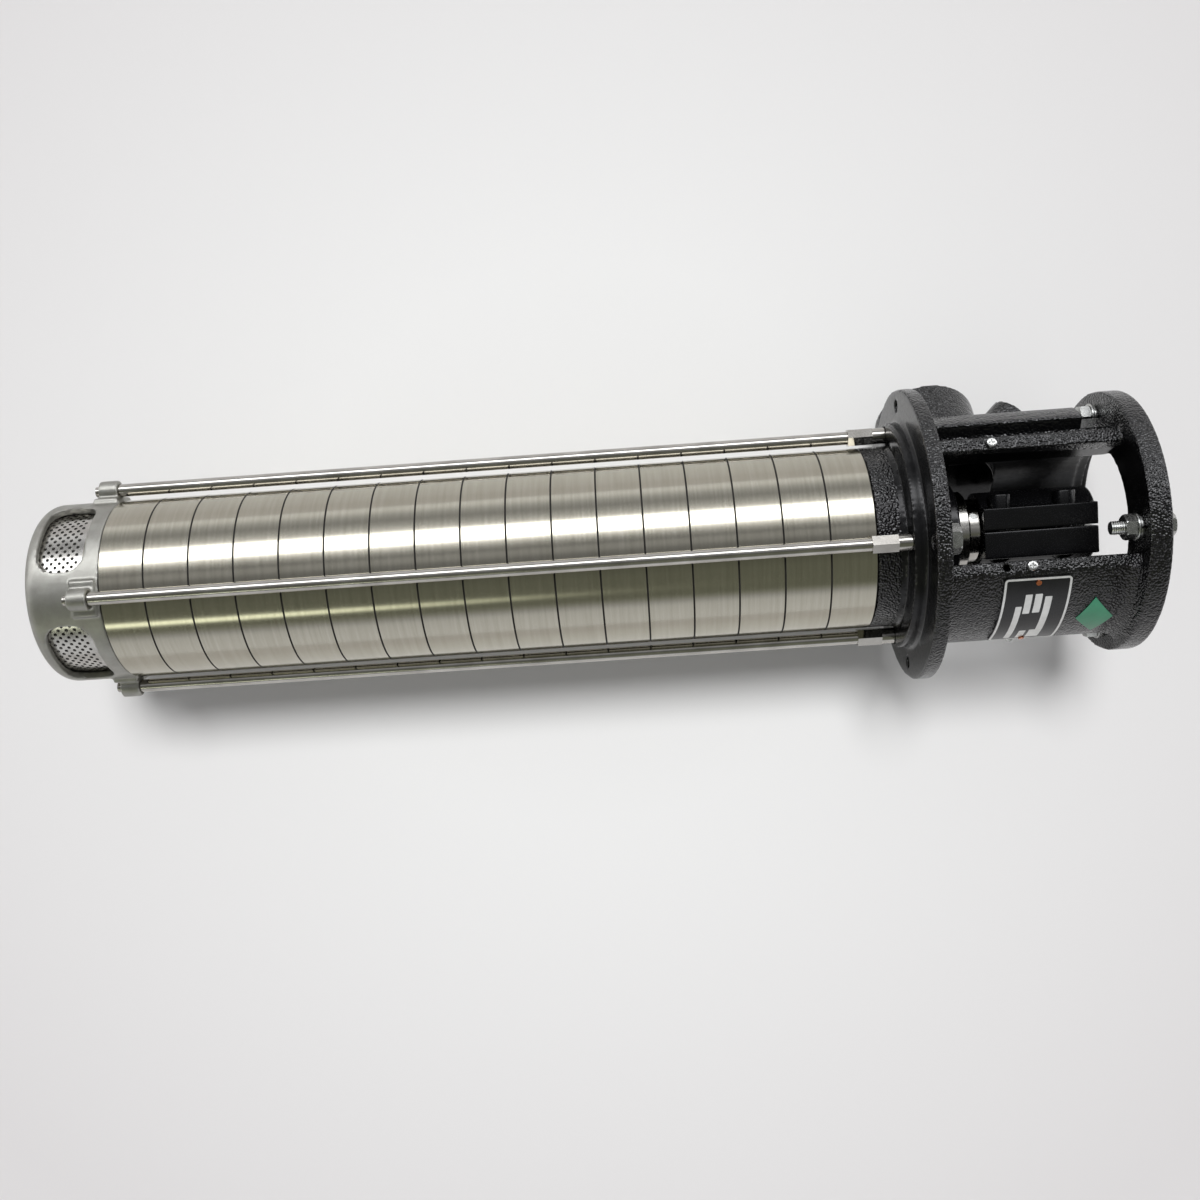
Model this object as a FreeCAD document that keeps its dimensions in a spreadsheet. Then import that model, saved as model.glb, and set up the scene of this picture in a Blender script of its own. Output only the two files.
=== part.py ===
import FreeCAD, Part

import math
import os
import re

import Sketcher
from FreeCAD import Placement, Rotation, Vector

# An immersible multistage pump, built standing: +Z runs up the shaft to the motor.
# The origin is the centre of the mounting flange's underside, which seats on the tank top.
# Angles are counted about +Z from +X. The front window looks towards -Y.
# Every size below is in millimetres or degrees.

SIZES = [
    # mounting flange and its tank spigot
    ("flange_radius", 90.0),
    ("flange_thickness", 9.0),
    ("flange_hole_circle_radius", 80.0),
    ("flange_hole_radius", 3.75),
    ("spigot_radius", 69.75),
    ("spigot_depth", 8.0),
    ("skirt_depth", 26.0),
    ("head_cavity_radius", 50.0),
    ("head_cavity_roof", 2.0),
    ("head_cavity_shoulder", -6.0),
    # lantern between the two flanges
    ("lantern_radius", 70.0),
    ("lantern_floor", 14.0),
    ("inner_wall_radius", 45.5),
    ("setback_wall_radius", 52.0),
    ("plate_wall_inner_radius", 60.0),
    ("lantern_flare", 8.0),
    ("front_window_angle", -107.6),
    ("back_window_angle", 17.6),
    ("window_half_width", 33.4),
    ("window_inner_distance", 30.7),
    ("guard_pad_half_width", 42.0),
    ("guard_pad_inset", 13.0),
    ("front_channel_start_angle", 206.7),
    ("back_channel_start_angle", 55.3),
    ("channel_angle", 8.0),
    ("channel_radius", 63.0),
    ("ridge_radius", 73.0),
    ("ridge_angle", 14.7),
    ("flare_start_angle", -80.0),
    ("flare_angle", 70.0),
    ("setback_start_angle", 78.0),
    ("setback_angle", 114.0),
    ("inner_pocket_start_angle", -136.0),
    ("inner_pocket_angle", 182.0),
    # motor flange, for a motor with a small face flange
    ("motor_flange_foot", 121.0),
    ("motor_flange_thickness", 13.0),
    ("motor_flange_radius", 80.0),
    ("motor_bore_radius", 47.5),
    ("motor_spigot_radius", 55.0),
    ("motor_spigot_depth", 6.0),
    ("motor_bolt_circle_radius", 65.0),
    ("motor_bolt_radius", 4.0),
    ("motor_bolt_clearance", 0.5),
    # discharge port
    ("port_angle", 135.0),
    ("port_reach", 100.5),
    ("port_height", 33.2),
    ("port_boss_radius", 32.5),
    ("port_boss_root", 36.0),
    ("port_thread_radius", 19.5),
    ("port_thread_depth", 22.0),
    ("port_passage_radius", 16.0),
    ("port_passage_root", 42.0),
    ("riser_radius", 9.0),
    ("riser_distance", 50.0),
    # air vent
    ("vent_angle", 157.0),
    ("vent_tilt", 45.0),
    ("vent_reach", 75.0),
    ("vent_height", 80.0),
    ("vent_boss_radius", 14.0),
    ("vent_boss_length", 26.0),
    ("vent_thread_radius", 3.0),
    ("vent_thread_depth", 10.0),
    ("vent_head_radius", 4.2),
    ("vent_head_height", 3.5),
    # chamber stack
    ("chamber_radius", 56.0),
    ("chamber_wall", 2.0),
    ("chamber_pitch", 27.0),
    ("chamber_web", 2.0),
    # suction strainer
    ("strainer_length", 47.0),
    ("strainer_wall", 5.0),
    ("strainer_floor", 5.0),
    ("strainer_edge_radius", 8.5),
    ("strainer_window_foot", 9.0),
    ("strainer_window_length", 28.5),
    ("strainer_window_half_width", 26.0),
    ("strainer_window_corner", 11.0),
    ("screen_thickness", 0.8),
    ("screen_gap", 0.1),
    # tie rods and their lugs
    ("rod_circle_radius", 62.5),
    ("rod_radius", 4.0),
    ("rod_thread_radius", 3.2),
    ("rod_end_below_lug", 3.0),
    ("lug_boss_radius", 6.5),
    ("lug_boss_length", 12.0),
    ("lug_below_seam", 3.0),
    ("lug_foot_half_width", 11.0),
    ("lug_foot_height", 58.4),
    ("lug_foot_rise", 1.5),
    ("rod_hex_flat", 10.0),
    ("rod_hex_foot", -31.0),
    ("rod_hex_length", 15.0),
    ("rod_shank_radius", 4.9),
    ("rod_top", 20.0),
    ("rod_hole_clearance", 0.35),
    ("rod_washer_radius", 10.0),
    ("rod_washer_thickness", 2.0),
    ("rod_nut_flat", 16.0),
    ("rod_nut_height", 8.4),
    # motor bolts
    ("motor_head_flat", 13.0),
    ("motor_head_height", 5.3),
    ("motor_bolt_length", 30.0),
    ("motor_washer_radius", 8.0),
    ("motor_washer_thickness", 1.6),
    ("spring_washer_radius", 7.0),
    ("spring_washer_thickness", 2.0),
    ("motor_nut_height", 6.5),
    ("thread_gap", 0.05),
    # shaft seal
    ("seal_boss_radius", 30.5),
    ("seal_boss_top", 29.5),
    ("seal_bore_radius", 19.0),
    ("seal_bore_floor", 10.0),
    ("shaft_hole_radius", 10.0),
    ("gland_radius", 24.5),
    ("gland_thickness", 7.0),
    ("gland_neck_depth", 6.0),
    ("gland_bore_radius", 15.5),
    ("seal_fit_gap", 0.1),
    ("seal_running_gap", 0.5),
    ("seal_face_gap", 0.05),
    ("collar_lift", 0.3),
    ("seal_ring_height", 8.0),
    ("collar_radius", 19.5),
    ("collar_height", 7.4),
    ("set_screw_radius", 2.5),
    # rotor
    ("shaft_radius", 8.0),
    ("shaft_foot", -503.0),
    ("shaft_top", 71.5),
    ("hub_radius", 11.0),
    ("hub_gap", 0.5),
    ("hub_lift", 2.0),
    ("impeller_radius", 44.0),
    ("impeller_bore_gap", 0.05),
    ("impeller_lift", 8.0),
    ("impeller_thickness", 9.0),
    ("stop_ring_radius", 12.0),
    ("stop_ring_height", 4.0),
    ("end_nut_flat", 22.0),
    ("end_nut_height", 5.5),
    ("inlet_plate_thickness", 7.0),
    ("inlet_plate_drop", 5.0),
    ("inlet_hole_radius", 7.0),
    ("inlet_hole_circle_radius", 28.0),
    ("bush_radius", 12.0),
    ("bush_length", 9.0),
    ("bush_running_gap", 0.05),
    # shaft coupling
    ("coupling_foot", 44.5),
    ("coupling_length", 68.5),
    ("coupling_radius", 23.0),
    ("coupling_ear_reach", 24.5),
    ("coupling_head_ear", 14.0),
    ("coupling_thread_ear", 17.0),
    ("coupling_thread_length", 12.0),
    ("coupling_half_gap", 0.5),
    ("motor_shaft_radius", 12.0),
    ("motor_shaft_depth", 40.0),
    ("coupling_screw_offset", 17.5),
    ("coupling_screw_low", 56.0),
    ("coupling_screw_high", 95.0),
    ("coupling_screw_radius", 4.0),
    ("coupling_head_radius", 6.5),
    ("coupling_head_height", 8.0),
    ("coupling_head_room", 0.5),
    ("coupling_pin_radius", 2.5),
    ("coupling_pin_height", 66.0),
    ("coupling_pin_hold", 5.0),
    # guard screws
    ("guard_screw_radius", 2.0),
    ("guard_screw_head_radius", 3.0),
    ("guard_screw_head_height", 2.4),
    ("guard_screw_depth", 8.0),
    ("guard_screw_upper_height", 45.0),
    ("guard_screw_lower_height", 59.0),
    ("guard_screw_offset", 37.5),
    # nameplate
    ("nameplate_start_angle", -69.5),
    ("nameplate_angle", 49.0),
    ("nameplate_foot", 43.0),
    ("nameplate_height", 39.5),
    ("nameplate_thickness", 0.5),
    ("sheet_gap", 0.1),
    ("rivet_radius", 1.6),
    ("rivet_shank_radius", 0.8),
    ("rivet_head_height", 0.9),
    ("rivet_depth", 3.0),
    ("rivet_edge_angle", 3.0),
    # sticker
    ("label_angle", 49.0),
    ("label_gap", 7.0),
    ("label_half_height", 10.9),
    ("label_half_width", 17.5),
    ("label_rise", 2.8),
    ("label_thickness", 0.2),
]

STAGE_COUNT = 17
CORNER_COUNT = 4
INLET_HOLE_COUNT = 6
SET_SCREW_COUNT = 3
FULL_TURN = 360.0
HEX_SIDES = 6
CORNER_STEPS = 4
SAME_PLACE = 1e-6

# Heights that several parts share, as expressions in the sizes above.
CHAMBERS_TOP = "-skirt_depth"
CHAMBERS_FOOT = f"(-skirt_depth - {STAGE_COUNT} * chamber_pitch)"
STRAINER_FOOT = f"({CHAMBERS_FOOT} - strainer_length)"
LUG_TOP = f"({CHAMBERS_FOOT} - lug_below_seam)"
MOTOR_FACE = "(motor_flange_foot + motor_flange_thickness)"
INLET_PLATE_TOP = f"({CHAMBERS_FOOT} - inlet_plate_drop)"
GLAND_TOP = "(seal_boss_top + gland_thickness)"
COLLAR_FOOT = f"({GLAND_TOP} + collar_lift)"
STRAINER_BORE = "(chamber_radius - strainer_wall)"
HEX_CORNER = 1 / math.cos(math.pi / HEX_SIDES)

DOC = FreeCAD.newDocument("immersible_pump")
SHEET = DOC.addObject("Spreadsheet::Sheet", "Sizes")
for row, (alias, size) in enumerate(SIZES, start=1):
    SHEET.set(f"A{row}", alias)
    SHEET.set(f"B{row}", str(size))
    SHEET.setAlias(f"B{row}", alias)
DOC.recompute()

ALIASES = {alias for alias, _ in SIZES}
PARTS = []


def bound(expression):
    """The expression with each size's name turned into its cell in the sheet."""
    def cell(match):
        word = match.group(0)
        return f"Sizes.{word}" if word in ALIASES else word
    return re.sub(r"[a-z_][a-z_]*", cell, str(expression))


def value(expression):
    """What the expression comes to with the sizes as they are."""
    return float(SHEET.evalExpression(bound(expression)))


def keep(shape_object, label):
    """Name a finished sub-part, which is written under that name."""
    shape_object.Label = label
    PARTS.append(shape_object)
    return shape_object


def new_body(label):
    body = DOC.addObject("PartDesign::Body", label)
    return keep(body, label)


def new_sketch(body, name, role, offsets=(), turn=None):
    """A sketch on one of the body's origin planes, shifted or turned by bound offsets."""
    sketch = body.newObject("Sketcher::SketchObject", name)
    plane = [item for item in body.Origin.OriginFeatures if item.Role == role][0]
    sketch.AttachmentSupport = [(plane, "")]
    sketch.MapMode = "FlatFace"
    if turn is not None:
        axis, angle = turn
        sketch.AttachmentOffset = Placement(Vector(), Rotation(axis, value(angle)))
        sketch.setExpression("AttachmentOffset.Rotation.Angle", bound(angle))
    for direction, distance in offsets:
        sketch.setExpression(f"AttachmentOffset.Base.{direction}", bound(distance))
    return sketch


def add_outline(sketch, corners):
    """A closed outline of straight lines, each corner held at its two bound distances."""
    points = [Vector(value(across), value(up), 0) for across, up in corners]
    first = sketch.GeometryCount
    total = len(points)
    for index, point in enumerate(points):
        following = points[(index + 1) % total]
        sketch.addGeometry(Part.LineSegment(point, following), False)
    for index in range(total):
        after = first + (index + 1) % total
        sketch.addConstraint(Sketcher.Constraint("Coincident", first + index, 2, after, 1))
    for index, (across, up) in enumerate(corners):
        for kind, distance in (("DistanceX", across), ("DistanceY", up)):
            held = sketch.addConstraint(
                Sketcher.Constraint(kind, -1, 1, first + index, 1, value(distance)))
            sketch.setExpression(f"Constraints[{held}]", bound(distance))


def add_circle(sketch, across, up, radius):
    """A circle with its centre and radius bound."""
    centre = Vector(value(across), value(up), 0)
    circle = sketch.addGeometry(Part.Circle(centre, Vector(0, 0, 1), value(radius)), False)
    held = sketch.addConstraint(Sketcher.Constraint("Radius", circle, value(radius)))
    sketch.setExpression(f"Constraints[{held}]", bound(radius))
    for kind, distance in (("DistanceX", across), ("DistanceY", up)):
        held = sketch.addConstraint(
            Sketcher.Constraint(kind, -1, 1, circle, 3, value(distance)))
        sketch.setExpression(f"Constraints[{held}]", bound(distance))


def rectangle(low_across, high_across, low_up, high_up):
    """The four corners of an upright rectangle."""
    return [(low_across, low_up), (high_across, low_up),
            (high_across, high_up), (low_across, high_up)]


def rounded_rectangle(half, low, high, corner):
    """The outline of a rectangle about the upright axis, its round corners in short steps."""
    outline = []
    for side, level, inward, start in ((1, low, 1, -90), (1, high, -1, 0),
                                       (-1, high, -1, 90), (-1, low, 1, 180)):
        for step in range(CORNER_STEPS + 1):
            angle = math.radians(start + 90 * step / CORNER_STEPS)
            across = f"{side} * ({half} - {corner}) + {math.cos(angle):.8f} * {corner}"
            up = f"{level} + {inward} * {corner} + {math.sin(angle):.8f} * {corner}"
            outline.append((across, up))
    return outline


def hexagon(flat, across="0", up="0"):
    """The corners of a hexagon with its flats left and right, by the size across flats."""
    corners = []
    for index in range(HEX_SIDES):
        angle = math.radians(30 + 60 * index)
        side = HEX_CORNER * math.cos(angle) / 2
        rise = HEX_CORNER * math.sin(angle) / 2
        corners.append((f"{across} + {side:.8f} * {flat}", f"{up} + {rise:.8f} * {flat}"))
    return corners


def revolve(body, name, corners, start="0", sweep=FULL_TURN, cut=False):
    """Turn an outline of (radius, height) corners about the Z axis, to add it or cut it."""
    about = Vector(0, 1, 0)
    sketch = new_sketch(body, name + "_outline", "XZ_Plane", turn=(about, start))
    add_outline(sketch, corners)
    DOC.recompute()
    kind = "PartDesign::Groove" if cut else "PartDesign::Revolution"
    feature = body.newObject(kind, name)
    feature.Profile = sketch
    feature.ReferenceAxis = (sketch, ["V_Axis"])
    feature.setExpression("Angle", bound(sweep))
    sketch.Visibility = False
    DOC.recompute()
    return feature


def pad(body, name, sketch, length, backwards=False):
    """Grow a sketch by a bound length."""
    DOC.recompute()
    feature = body.newObject("PartDesign::Pad", name)
    feature.Profile = sketch
    feature.Reversed = backwards
    feature.setExpression("Length", bound(length))
    DOC.recompute()
    return feature


def pocket(body, name, sketch, length, backwards=False):
    """Cut a sketch to a bound depth, and make sure that it took material away."""
    before = body.Shape.Volume
    feature = body.newObject("PartDesign::Pocket", name)
    feature.Profile = sketch
    feature.Reversed = backwards
    feature.setExpression("Length", bound(length))
    DOC.recompute()
    if not body.Shape.Volume < before:
        raise RuntimeError(f"{name} cuts nothing")
    return feature


def around(body, name, originals, count):
    """Repeat features evenly about the Z axis."""
    pattern = body.newObject("PartDesign::PolarPattern", name)
    pattern.Originals = originals
    upright = [item for item in body.Origin.OriginFeatures if item.Role == "Z_Axis"][0]
    pattern.Axis = (upright, [""])
    pattern.Angle = FULL_TURN
    pattern.Occurrences = count
    body.Tip = pattern
    DOC.recompute()
    return pattern


def ring_edges(shape, radius, height):
    """Names of the shape's round edges of one radius at one height about the Z axis."""
    found = []
    for number, edge in enumerate(shape.Edges, start=1):
        curve = edge.Curve
        if not isinstance(curve, Part.Circle):
            continue
        centred = math.hypot(curve.Center.x, curve.Center.y) < SAME_PLACE
        level = abs(curve.Center.z - height) < SAME_PLACE
        if centred and level and abs(curve.Radius - radius) < SAME_PLACE:
            found.append(f"Edge{number}")
    return found


def round_edge(body, name, feature, radius, height, size):
    """Round the turned edge at one radius and height."""
    fillet = body.newObject("PartDesign::Fillet", name)
    fillet.Base = (feature, ring_edges(feature.Shape, value(radius), value(height)))
    fillet.setExpression("Radius", bound(size))
    DOC.recompute()
    return fillet


def tilted_cylinder(name, radius, length, base, axis_turn):
    """A plain cylinder from a base point, turned to its own direction."""
    cylinder = DOC.addObject("Part::Cylinder", name)
    cylinder.setExpression("Radius", bound(radius))
    cylinder.setExpression("Height", bound(length))
    cylinder.Placement = Placement(Vector(), axis_turn)
    for direction, distance in zip("xyz", base):
        cylinder.setExpression(f"Placement.Base.{direction}", bound(distance))
    return cylinder


def fused(name, pieces):
    union = DOC.addObject("Part::MultiFuse", name)
    union.Shapes = pieces
    return union


def cut(name, base, tool):
    result = DOC.addObject("Part::Cut", name)
    result.Base = base
    result.Tool = tool
    return result


def pump_head():
    """The cast head: tank flange, discharge port, lantern and motor flange in one casting."""
    body = DOC.addObject("PartDesign::Body", "head_casting")
    outline = [
        ("head_cavity_radius", CHAMBERS_TOP),
        ("chamber_radius", CHAMBERS_TOP),
        ("chamber_radius", "-spigot_depth"),
        ("spigot_radius", "-spigot_depth"),
        ("spigot_radius", "0"),
        ("flange_radius", "0"),
        ("flange_radius", "flange_thickness"),
        ("lantern_radius", "flange_thickness"),
        ("lantern_radius", "motor_flange_foot"),
        ("motor_flange_radius", "motor_flange_foot"),
        ("motor_flange_radius", MOTOR_FACE),
        ("motor_spigot_radius", MOTOR_FACE),
        ("motor_spigot_radius", f"{MOTOR_FACE} - motor_spigot_depth"),
        ("motor_bore_radius", f"{MOTOR_FACE} - motor_spigot_depth"),
        ("motor_bore_radius", "motor_flange_foot"),
        ("inner_wall_radius", "motor_flange_foot"),
        ("inner_wall_radius", "lantern_floor"),
        ("seal_boss_radius", "lantern_floor"),
        ("seal_boss_radius", "seal_boss_top"),
        ("seal_bore_radius", "seal_boss_top"),
        ("seal_bore_radius", "seal_bore_floor"),
        ("shaft_hole_radius", "seal_bore_floor"),
        ("shaft_hole_radius", "head_cavity_roof"),
        ("head_cavity_radius - 6", "head_cavity_roof"),
        ("head_cavity_radius", "head_cavity_shoulder"),
    ]
    revolve(body, "casting", outline)
    outside = "flange_radius + motor_flange_radius"
    revolve(body, "setback", rectangle(
        "setback_wall_radius", outside, "flange_thickness", "motor_flange_foot"),
        "setback_start_angle", "setback_angle", cut=True)
    for side, ridge_start in (
        ("front", "front_channel_start_angle - ridge_angle"),
        ("back", "back_channel_start_angle + channel_angle - 1"),
    ):
        revolve(body, f"{side}_ridge", rectangle(
            "setback_wall_radius - 1", "ridge_radius",
            "flange_thickness - 1", "motor_flange_foot + 1"),
            ridge_start, "ridge_angle + 1")
        revolve(body, f"{side}_channel", rectangle(
            "channel_radius", outside, "flange_thickness", "motor_flange_foot"),
            f"{side}_channel_start_angle", "channel_angle", cut=True)
    revolve(body, "plate_wall_flare", [
        ("lantern_radius - 1", "motor_flange_foot - lantern_flare"),
        ("lantern_radius", "motor_flange_foot - lantern_flare"),
        ("lantern_radius + 0.3 * lantern_flare", "motor_flange_foot - 0.3 * lantern_flare"),
        ("lantern_radius + lantern_flare", "motor_flange_foot"),
        ("lantern_radius - 1", "motor_flange_foot"),
    ], "flare_start_angle", "flare_angle")
    revolve(body, "plate_wall_pocket", rectangle(
        "inner_wall_radius - 1", "plate_wall_inner_radius",
        "lantern_floor", "motor_flange_foot - lantern_flare"),
        "inner_pocket_start_angle", "inner_pocket_angle", cut=True)
    for side in ("front", "back"):
        about = (Vector(0, 0, 1), f"{side}_window_angle")
        opening = new_sketch(body, f"{side}_window_outline", "XY_Plane",
                             [("z", "flange_thickness")], about)
        add_outline(opening, rectangle(
            "window_inner_distance", outside, "-window_half_width", "window_half_width"))
        DOC.recompute()
        pocket(body, f"{side}_window", opening, "motor_flange_foot - flange_thickness", True)
        pads = new_sketch(body, f"{side}_guard_pads_outline", "XY_Plane",
                          [("z", "flange_thickness")], about)
        add_outline(pads, rectangle(
            "lantern_radius - guard_pad_inset", outside,
            "-guard_pad_half_width", "guard_pad_half_width"))
        DOC.recompute()
        pocket(body, f"{side}_guard_pads", pads, "motor_flange_foot - flange_thickness", True)
    for name, across, radius, foot, depth in (
        ("flange_holes", "flange_hole_circle_radius", "flange_hole_radius",
         "-1", "flange_thickness + 2"),
        ("rod_holes", "rod_circle_radius", "rod_shank_radius + rod_hole_clearance",
         "-spigot_depth - 1", "spigot_depth + flange_thickness + 2"),
        ("motor_bolt_holes", "motor_bolt_circle_radius", "motor_bolt_radius + motor_bolt_clearance",
         "motor_flange_foot - 1", "motor_flange_thickness + 2"),
    ):
        round_hole = new_sketch(body, f"{name}_outline", "XY_Plane", [("z", foot)])
        add_circle(round_hole, across, "0", radius)
        DOC.recompute()
        hole = pocket(body, f"first_of_{name}", round_hole, depth, True)
        around(body, name, [hole], CORNER_COUNT)

    lying = Rotation(Vector(0, 1, 0), 90)
    port_turn = Rotation(Vector(0, 0, 1), value("port_angle")) * lying
    def port_point(distance):
        return (f"({distance}) * cos(port_angle * 1deg)", f"({distance}) * sin(port_angle * 1deg)",
                "port_height")
    port_boss = tilted_cylinder("port_boss", "port_boss_radius", "port_reach - port_boss_root",
                                port_point("port_boss_root"), port_turn)
    port_thread = tilted_cylinder("port_thread_bore", "port_thread_radius", "port_thread_depth + 1",
                                  port_point("port_reach - port_thread_depth"), port_turn)
    port_passage = tilted_cylinder(
        "port_passage", "port_passage_radius", "port_reach - port_passage_root",
        port_point("port_passage_root"), port_turn)
    riser = tilted_cylinder(
        "riser", "riser_radius", "port_height - head_cavity_shoulder",
        ("riser_distance * cos(port_angle * 1deg)", "riser_distance * sin(port_angle * 1deg)",
         "head_cavity_shoulder"), Rotation())
    vent_turn = (Rotation(Vector(0, 0, 1), value("vent_angle"))
                 * Rotation(Vector(0, 1, 0), 90 - value("vent_tilt")))
    def vent_point(back):
        flat = f"(vent_reach - ({back}) * cos(vent_tilt * 1deg))"
        return (f"{flat} * cos(vent_angle * 1deg)", f"{flat} * sin(vent_angle * 1deg)",
                f"vent_height - ({back}) * sin(vent_tilt * 1deg)")
    vent_boss = tilted_cylinder("vent_boss", "vent_boss_radius", "vent_boss_length",
                                vent_point("vent_boss_length"), vent_turn)
    vent_hole = tilted_cylinder("vent_hole", "vent_thread_radius + thread_gap",
                                "vent_thread_depth + 1", vent_point("vent_thread_depth"), vent_turn)
    solid = fused("head_with_bosses", [body, port_boss, vent_boss])
    hollow = fused("head_passages", [port_thread, port_passage, riser, vent_hole]
                   + guard_holes() + rivet_holes())
    keep(cut("pump_head", solid, hollow), "pump_head")

    plug_shank = tilted_cylinder("vent_plug_shank", "vent_thread_radius",
                                 "vent_thread_depth", vent_point("vent_thread_depth"), vent_turn)
    plug_head = tilted_cylinder("vent_plug_head", "vent_head_radius",
                                "vent_head_height", vent_point("0"), vent_turn)
    keep(fused("air_vent_plug", [plug_shank, plug_head]), "air_vent_plug")


def suction_strainer():
    """The cast inlet cup with four windows and the four lugs that the tie rods screw into."""
    body = new_body("suction_strainer")
    cup = revolve(body, "cup", [
        ("0", STRAINER_FOOT),
        ("chamber_radius", STRAINER_FOOT),
        ("chamber_radius", CHAMBERS_FOOT),
        (STRAINER_BORE, CHAMBERS_FOOT),
        (STRAINER_BORE, f"{STRAINER_FOOT} + strainer_floor"),
        ("0", f"{STRAINER_FOOT} + strainer_floor"),
    ])
    round_edge(body, "foot_edge", cup, "chamber_radius", STRAINER_FOOT, "strainer_edge_radius")
    about = (Vector(0, 1, 0), "45")
    window = new_sketch(body, "window_outline", "XZ_Plane", turn=about)
    low = f"({STRAINER_FOOT} + strainer_window_foot)"
    high = f"({STRAINER_FOOT} + strainer_window_foot + strainer_window_length)"
    add_outline(window, rounded_rectangle(
        "strainer_window_half_width", low, high, "strainer_window_corner"))
    DOC.recompute()
    first_window = pocket(body, "first_window", window, "chamber_radius + 1")
    around(body, "windows", [first_window], CORNER_COUNT)

    foot = new_sketch(body, "lug_foot_outline", "XY_Plane",
                      [("z", f"{LUG_TOP} - lug_boss_length - lug_foot_rise")])
    add_outline(foot, rectangle(f"{STRAINER_BORE} + 1", "lug_foot_height",
                                "-lug_foot_half_width", "lug_foot_half_width"))
    lug_foot = pad(body, "lug_foot", foot, "lug_boss_length + 2 * lug_foot_rise")
    boss = new_sketch(body, "lug_boss_outline", "XY_Plane", [("z", f"{LUG_TOP} - lug_boss_length")])
    add_circle(boss, "rod_circle_radius", "0", "lug_boss_radius")
    lug_boss = pad(body, "lug_boss", boss, "lug_boss_length")
    around(body, "lugs", [lug_foot, lug_boss], CORNER_COUNT)
    thread = new_sketch(body, "lug_hole_outline", "XY_Plane",
                        [("z", f"{LUG_TOP} - lug_boss_length - 1")])
    add_circle(thread, "rod_circle_radius", "0", "rod_thread_radius + thread_gap")
    DOC.recompute()
    first_hole = pocket(body, "first_lug_hole", thread, "lug_boss_length + 4", True)
    around(body, "lug_holes", [first_hole], CORNER_COUNT)


def strainer_screen():
    """The sieve behind the windows, as a plain sleeve."""
    outer = f"({STRAINER_BORE} - screen_gap)"
    revolve(new_body("strainer_screen"), "sleeve", rectangle(
        f"{outer} - screen_thickness", outer, f"{STRAINER_FOOT} + strainer_floor",
        f"{INLET_PLATE_TOP} - inlet_plate_thickness"))


def inlet_plate():
    """The plate above the strainer, which carries the lower shaft bush."""
    body = new_body("inlet_plate")
    foot = f"{INLET_PLATE_TOP} - inlet_plate_thickness"
    revolve(body, "plate", rectangle(
        "bush_radius", f"{STRAINER_BORE} - screen_gap", foot, INLET_PLATE_TOP))
    eye = new_sketch(body, "inlet_hole_outline", "XY_Plane", [("z", f"{foot} - 1")])
    add_circle(eye, "inlet_hole_circle_radius", "0", "inlet_hole_radius")
    DOC.recompute()
    first_hole = pocket(body, "first_inlet_hole", eye, "inlet_plate_thickness + 2", True)
    around(body, "inlet_holes", [first_hole], INLET_HOLE_COUNT)
    revolve(new_body("inlet_bearing_bush"), "bush", rectangle(
        "shaft_radius + bush_running_gap", "bush_radius",
        f"{INLET_PLATE_TOP} - bush_length", INLET_PLATE_TOP))


def stage_chambers():
    """One pressed chamber per stage: a short shell closed above by a web with the shaft hole."""
    body = new_body("stage_chambers")
    top = f"({CHAMBERS_FOOT} + chamber_pitch)"
    chamber = revolve(body, "chamber", [
        ("chamber_radius", CHAMBERS_FOOT),
        ("chamber_radius", top),
        ("hub_radius + hub_gap", top),
        ("hub_radius + hub_gap", f"{top} - chamber_web"),
        ("chamber_radius - chamber_wall", f"{top} - chamber_web"),
        ("chamber_radius - chamber_wall", CHAMBERS_FOOT),
    ])
    return body, chamber


def impellers():
    """One impeller per stage, its long hub resting on the hub below."""
    body = new_body("impellers")
    hub_foot = f"({CHAMBERS_FOOT} + hub_lift)"
    disc_foot = f"({CHAMBERS_FOOT} + impeller_lift)"
    bore = "shaft_radius + impeller_bore_gap"
    impeller = revolve(body, "impeller", [
        (bore, hub_foot),
        ("hub_radius", hub_foot),
        ("hub_radius", disc_foot),
        ("impeller_radius", disc_foot),
        ("impeller_radius", f"{disc_foot} + impeller_thickness"),
        ("hub_radius", f"{disc_foot} + impeller_thickness"),
        ("hub_radius", f"{hub_foot} + chamber_pitch"),
        (bore, f"{hub_foot} + chamber_pitch"),
    ])
    return body, impeller


def stacked(name, first, count):
    """Copies of one turned solid up the stack, as separate solids in one node."""
    first_body, _ = first
    PARTS.remove(first_body)
    copies = [first_body]
    for index in range(1, count):
        copy = DOC.addObject("App::Link", f"{name}_{index + 1}")
        copy.LinkedObject = first_body
        copy.setExpression("Placement.Base.z", bound(f"{index} * chamber_pitch"))
        copies.append(copy)
    group = DOC.addObject("Part::Compound", f"{name}_group")
    group.Links = copies
    first_body.Label = f"first_of_{name}"
    keep(group, name)


def tie_rods():
    """Four long rods that clamp the strainer and the chambers against the head."""
    for index in range(CORNER_COUNT):
        body = new_body(f"tie_rod_{index + 1}")
        angle = 90 * index
        across = f"rod_circle_radius * {round(math.cos(math.radians(angle)))}"
        up = f"rod_circle_radius * {round(math.sin(math.radians(angle)))}"
        shank_foot = "(rod_hex_foot + rod_hex_length)"
        for name, radius, foot, top in (
            ("thread_end", "rod_thread_radius",
             f"{LUG_TOP} - lug_boss_length - rod_end_below_lug", LUG_TOP),
            ("rod", "rod_radius", LUG_TOP, "rod_hex_foot"),
            ("shank", "rod_shank_radius", shank_foot, "rod_top"),
        ):
            sketch = new_sketch(body, f"{name}_outline", "XY_Plane", [("z", foot)])
            add_circle(sketch, across, up, radius)
            if name == "shank":
                flats = new_sketch(body, "hex_outline", "XY_Plane", [("z", "rod_hex_foot")])
                add_outline(flats, hexagon("rod_hex_flat", across, up))
                pad(body, "hex", flats, "rod_hex_length")
            pad(body, name, sketch, f"({top}) - ({foot})")


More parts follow.
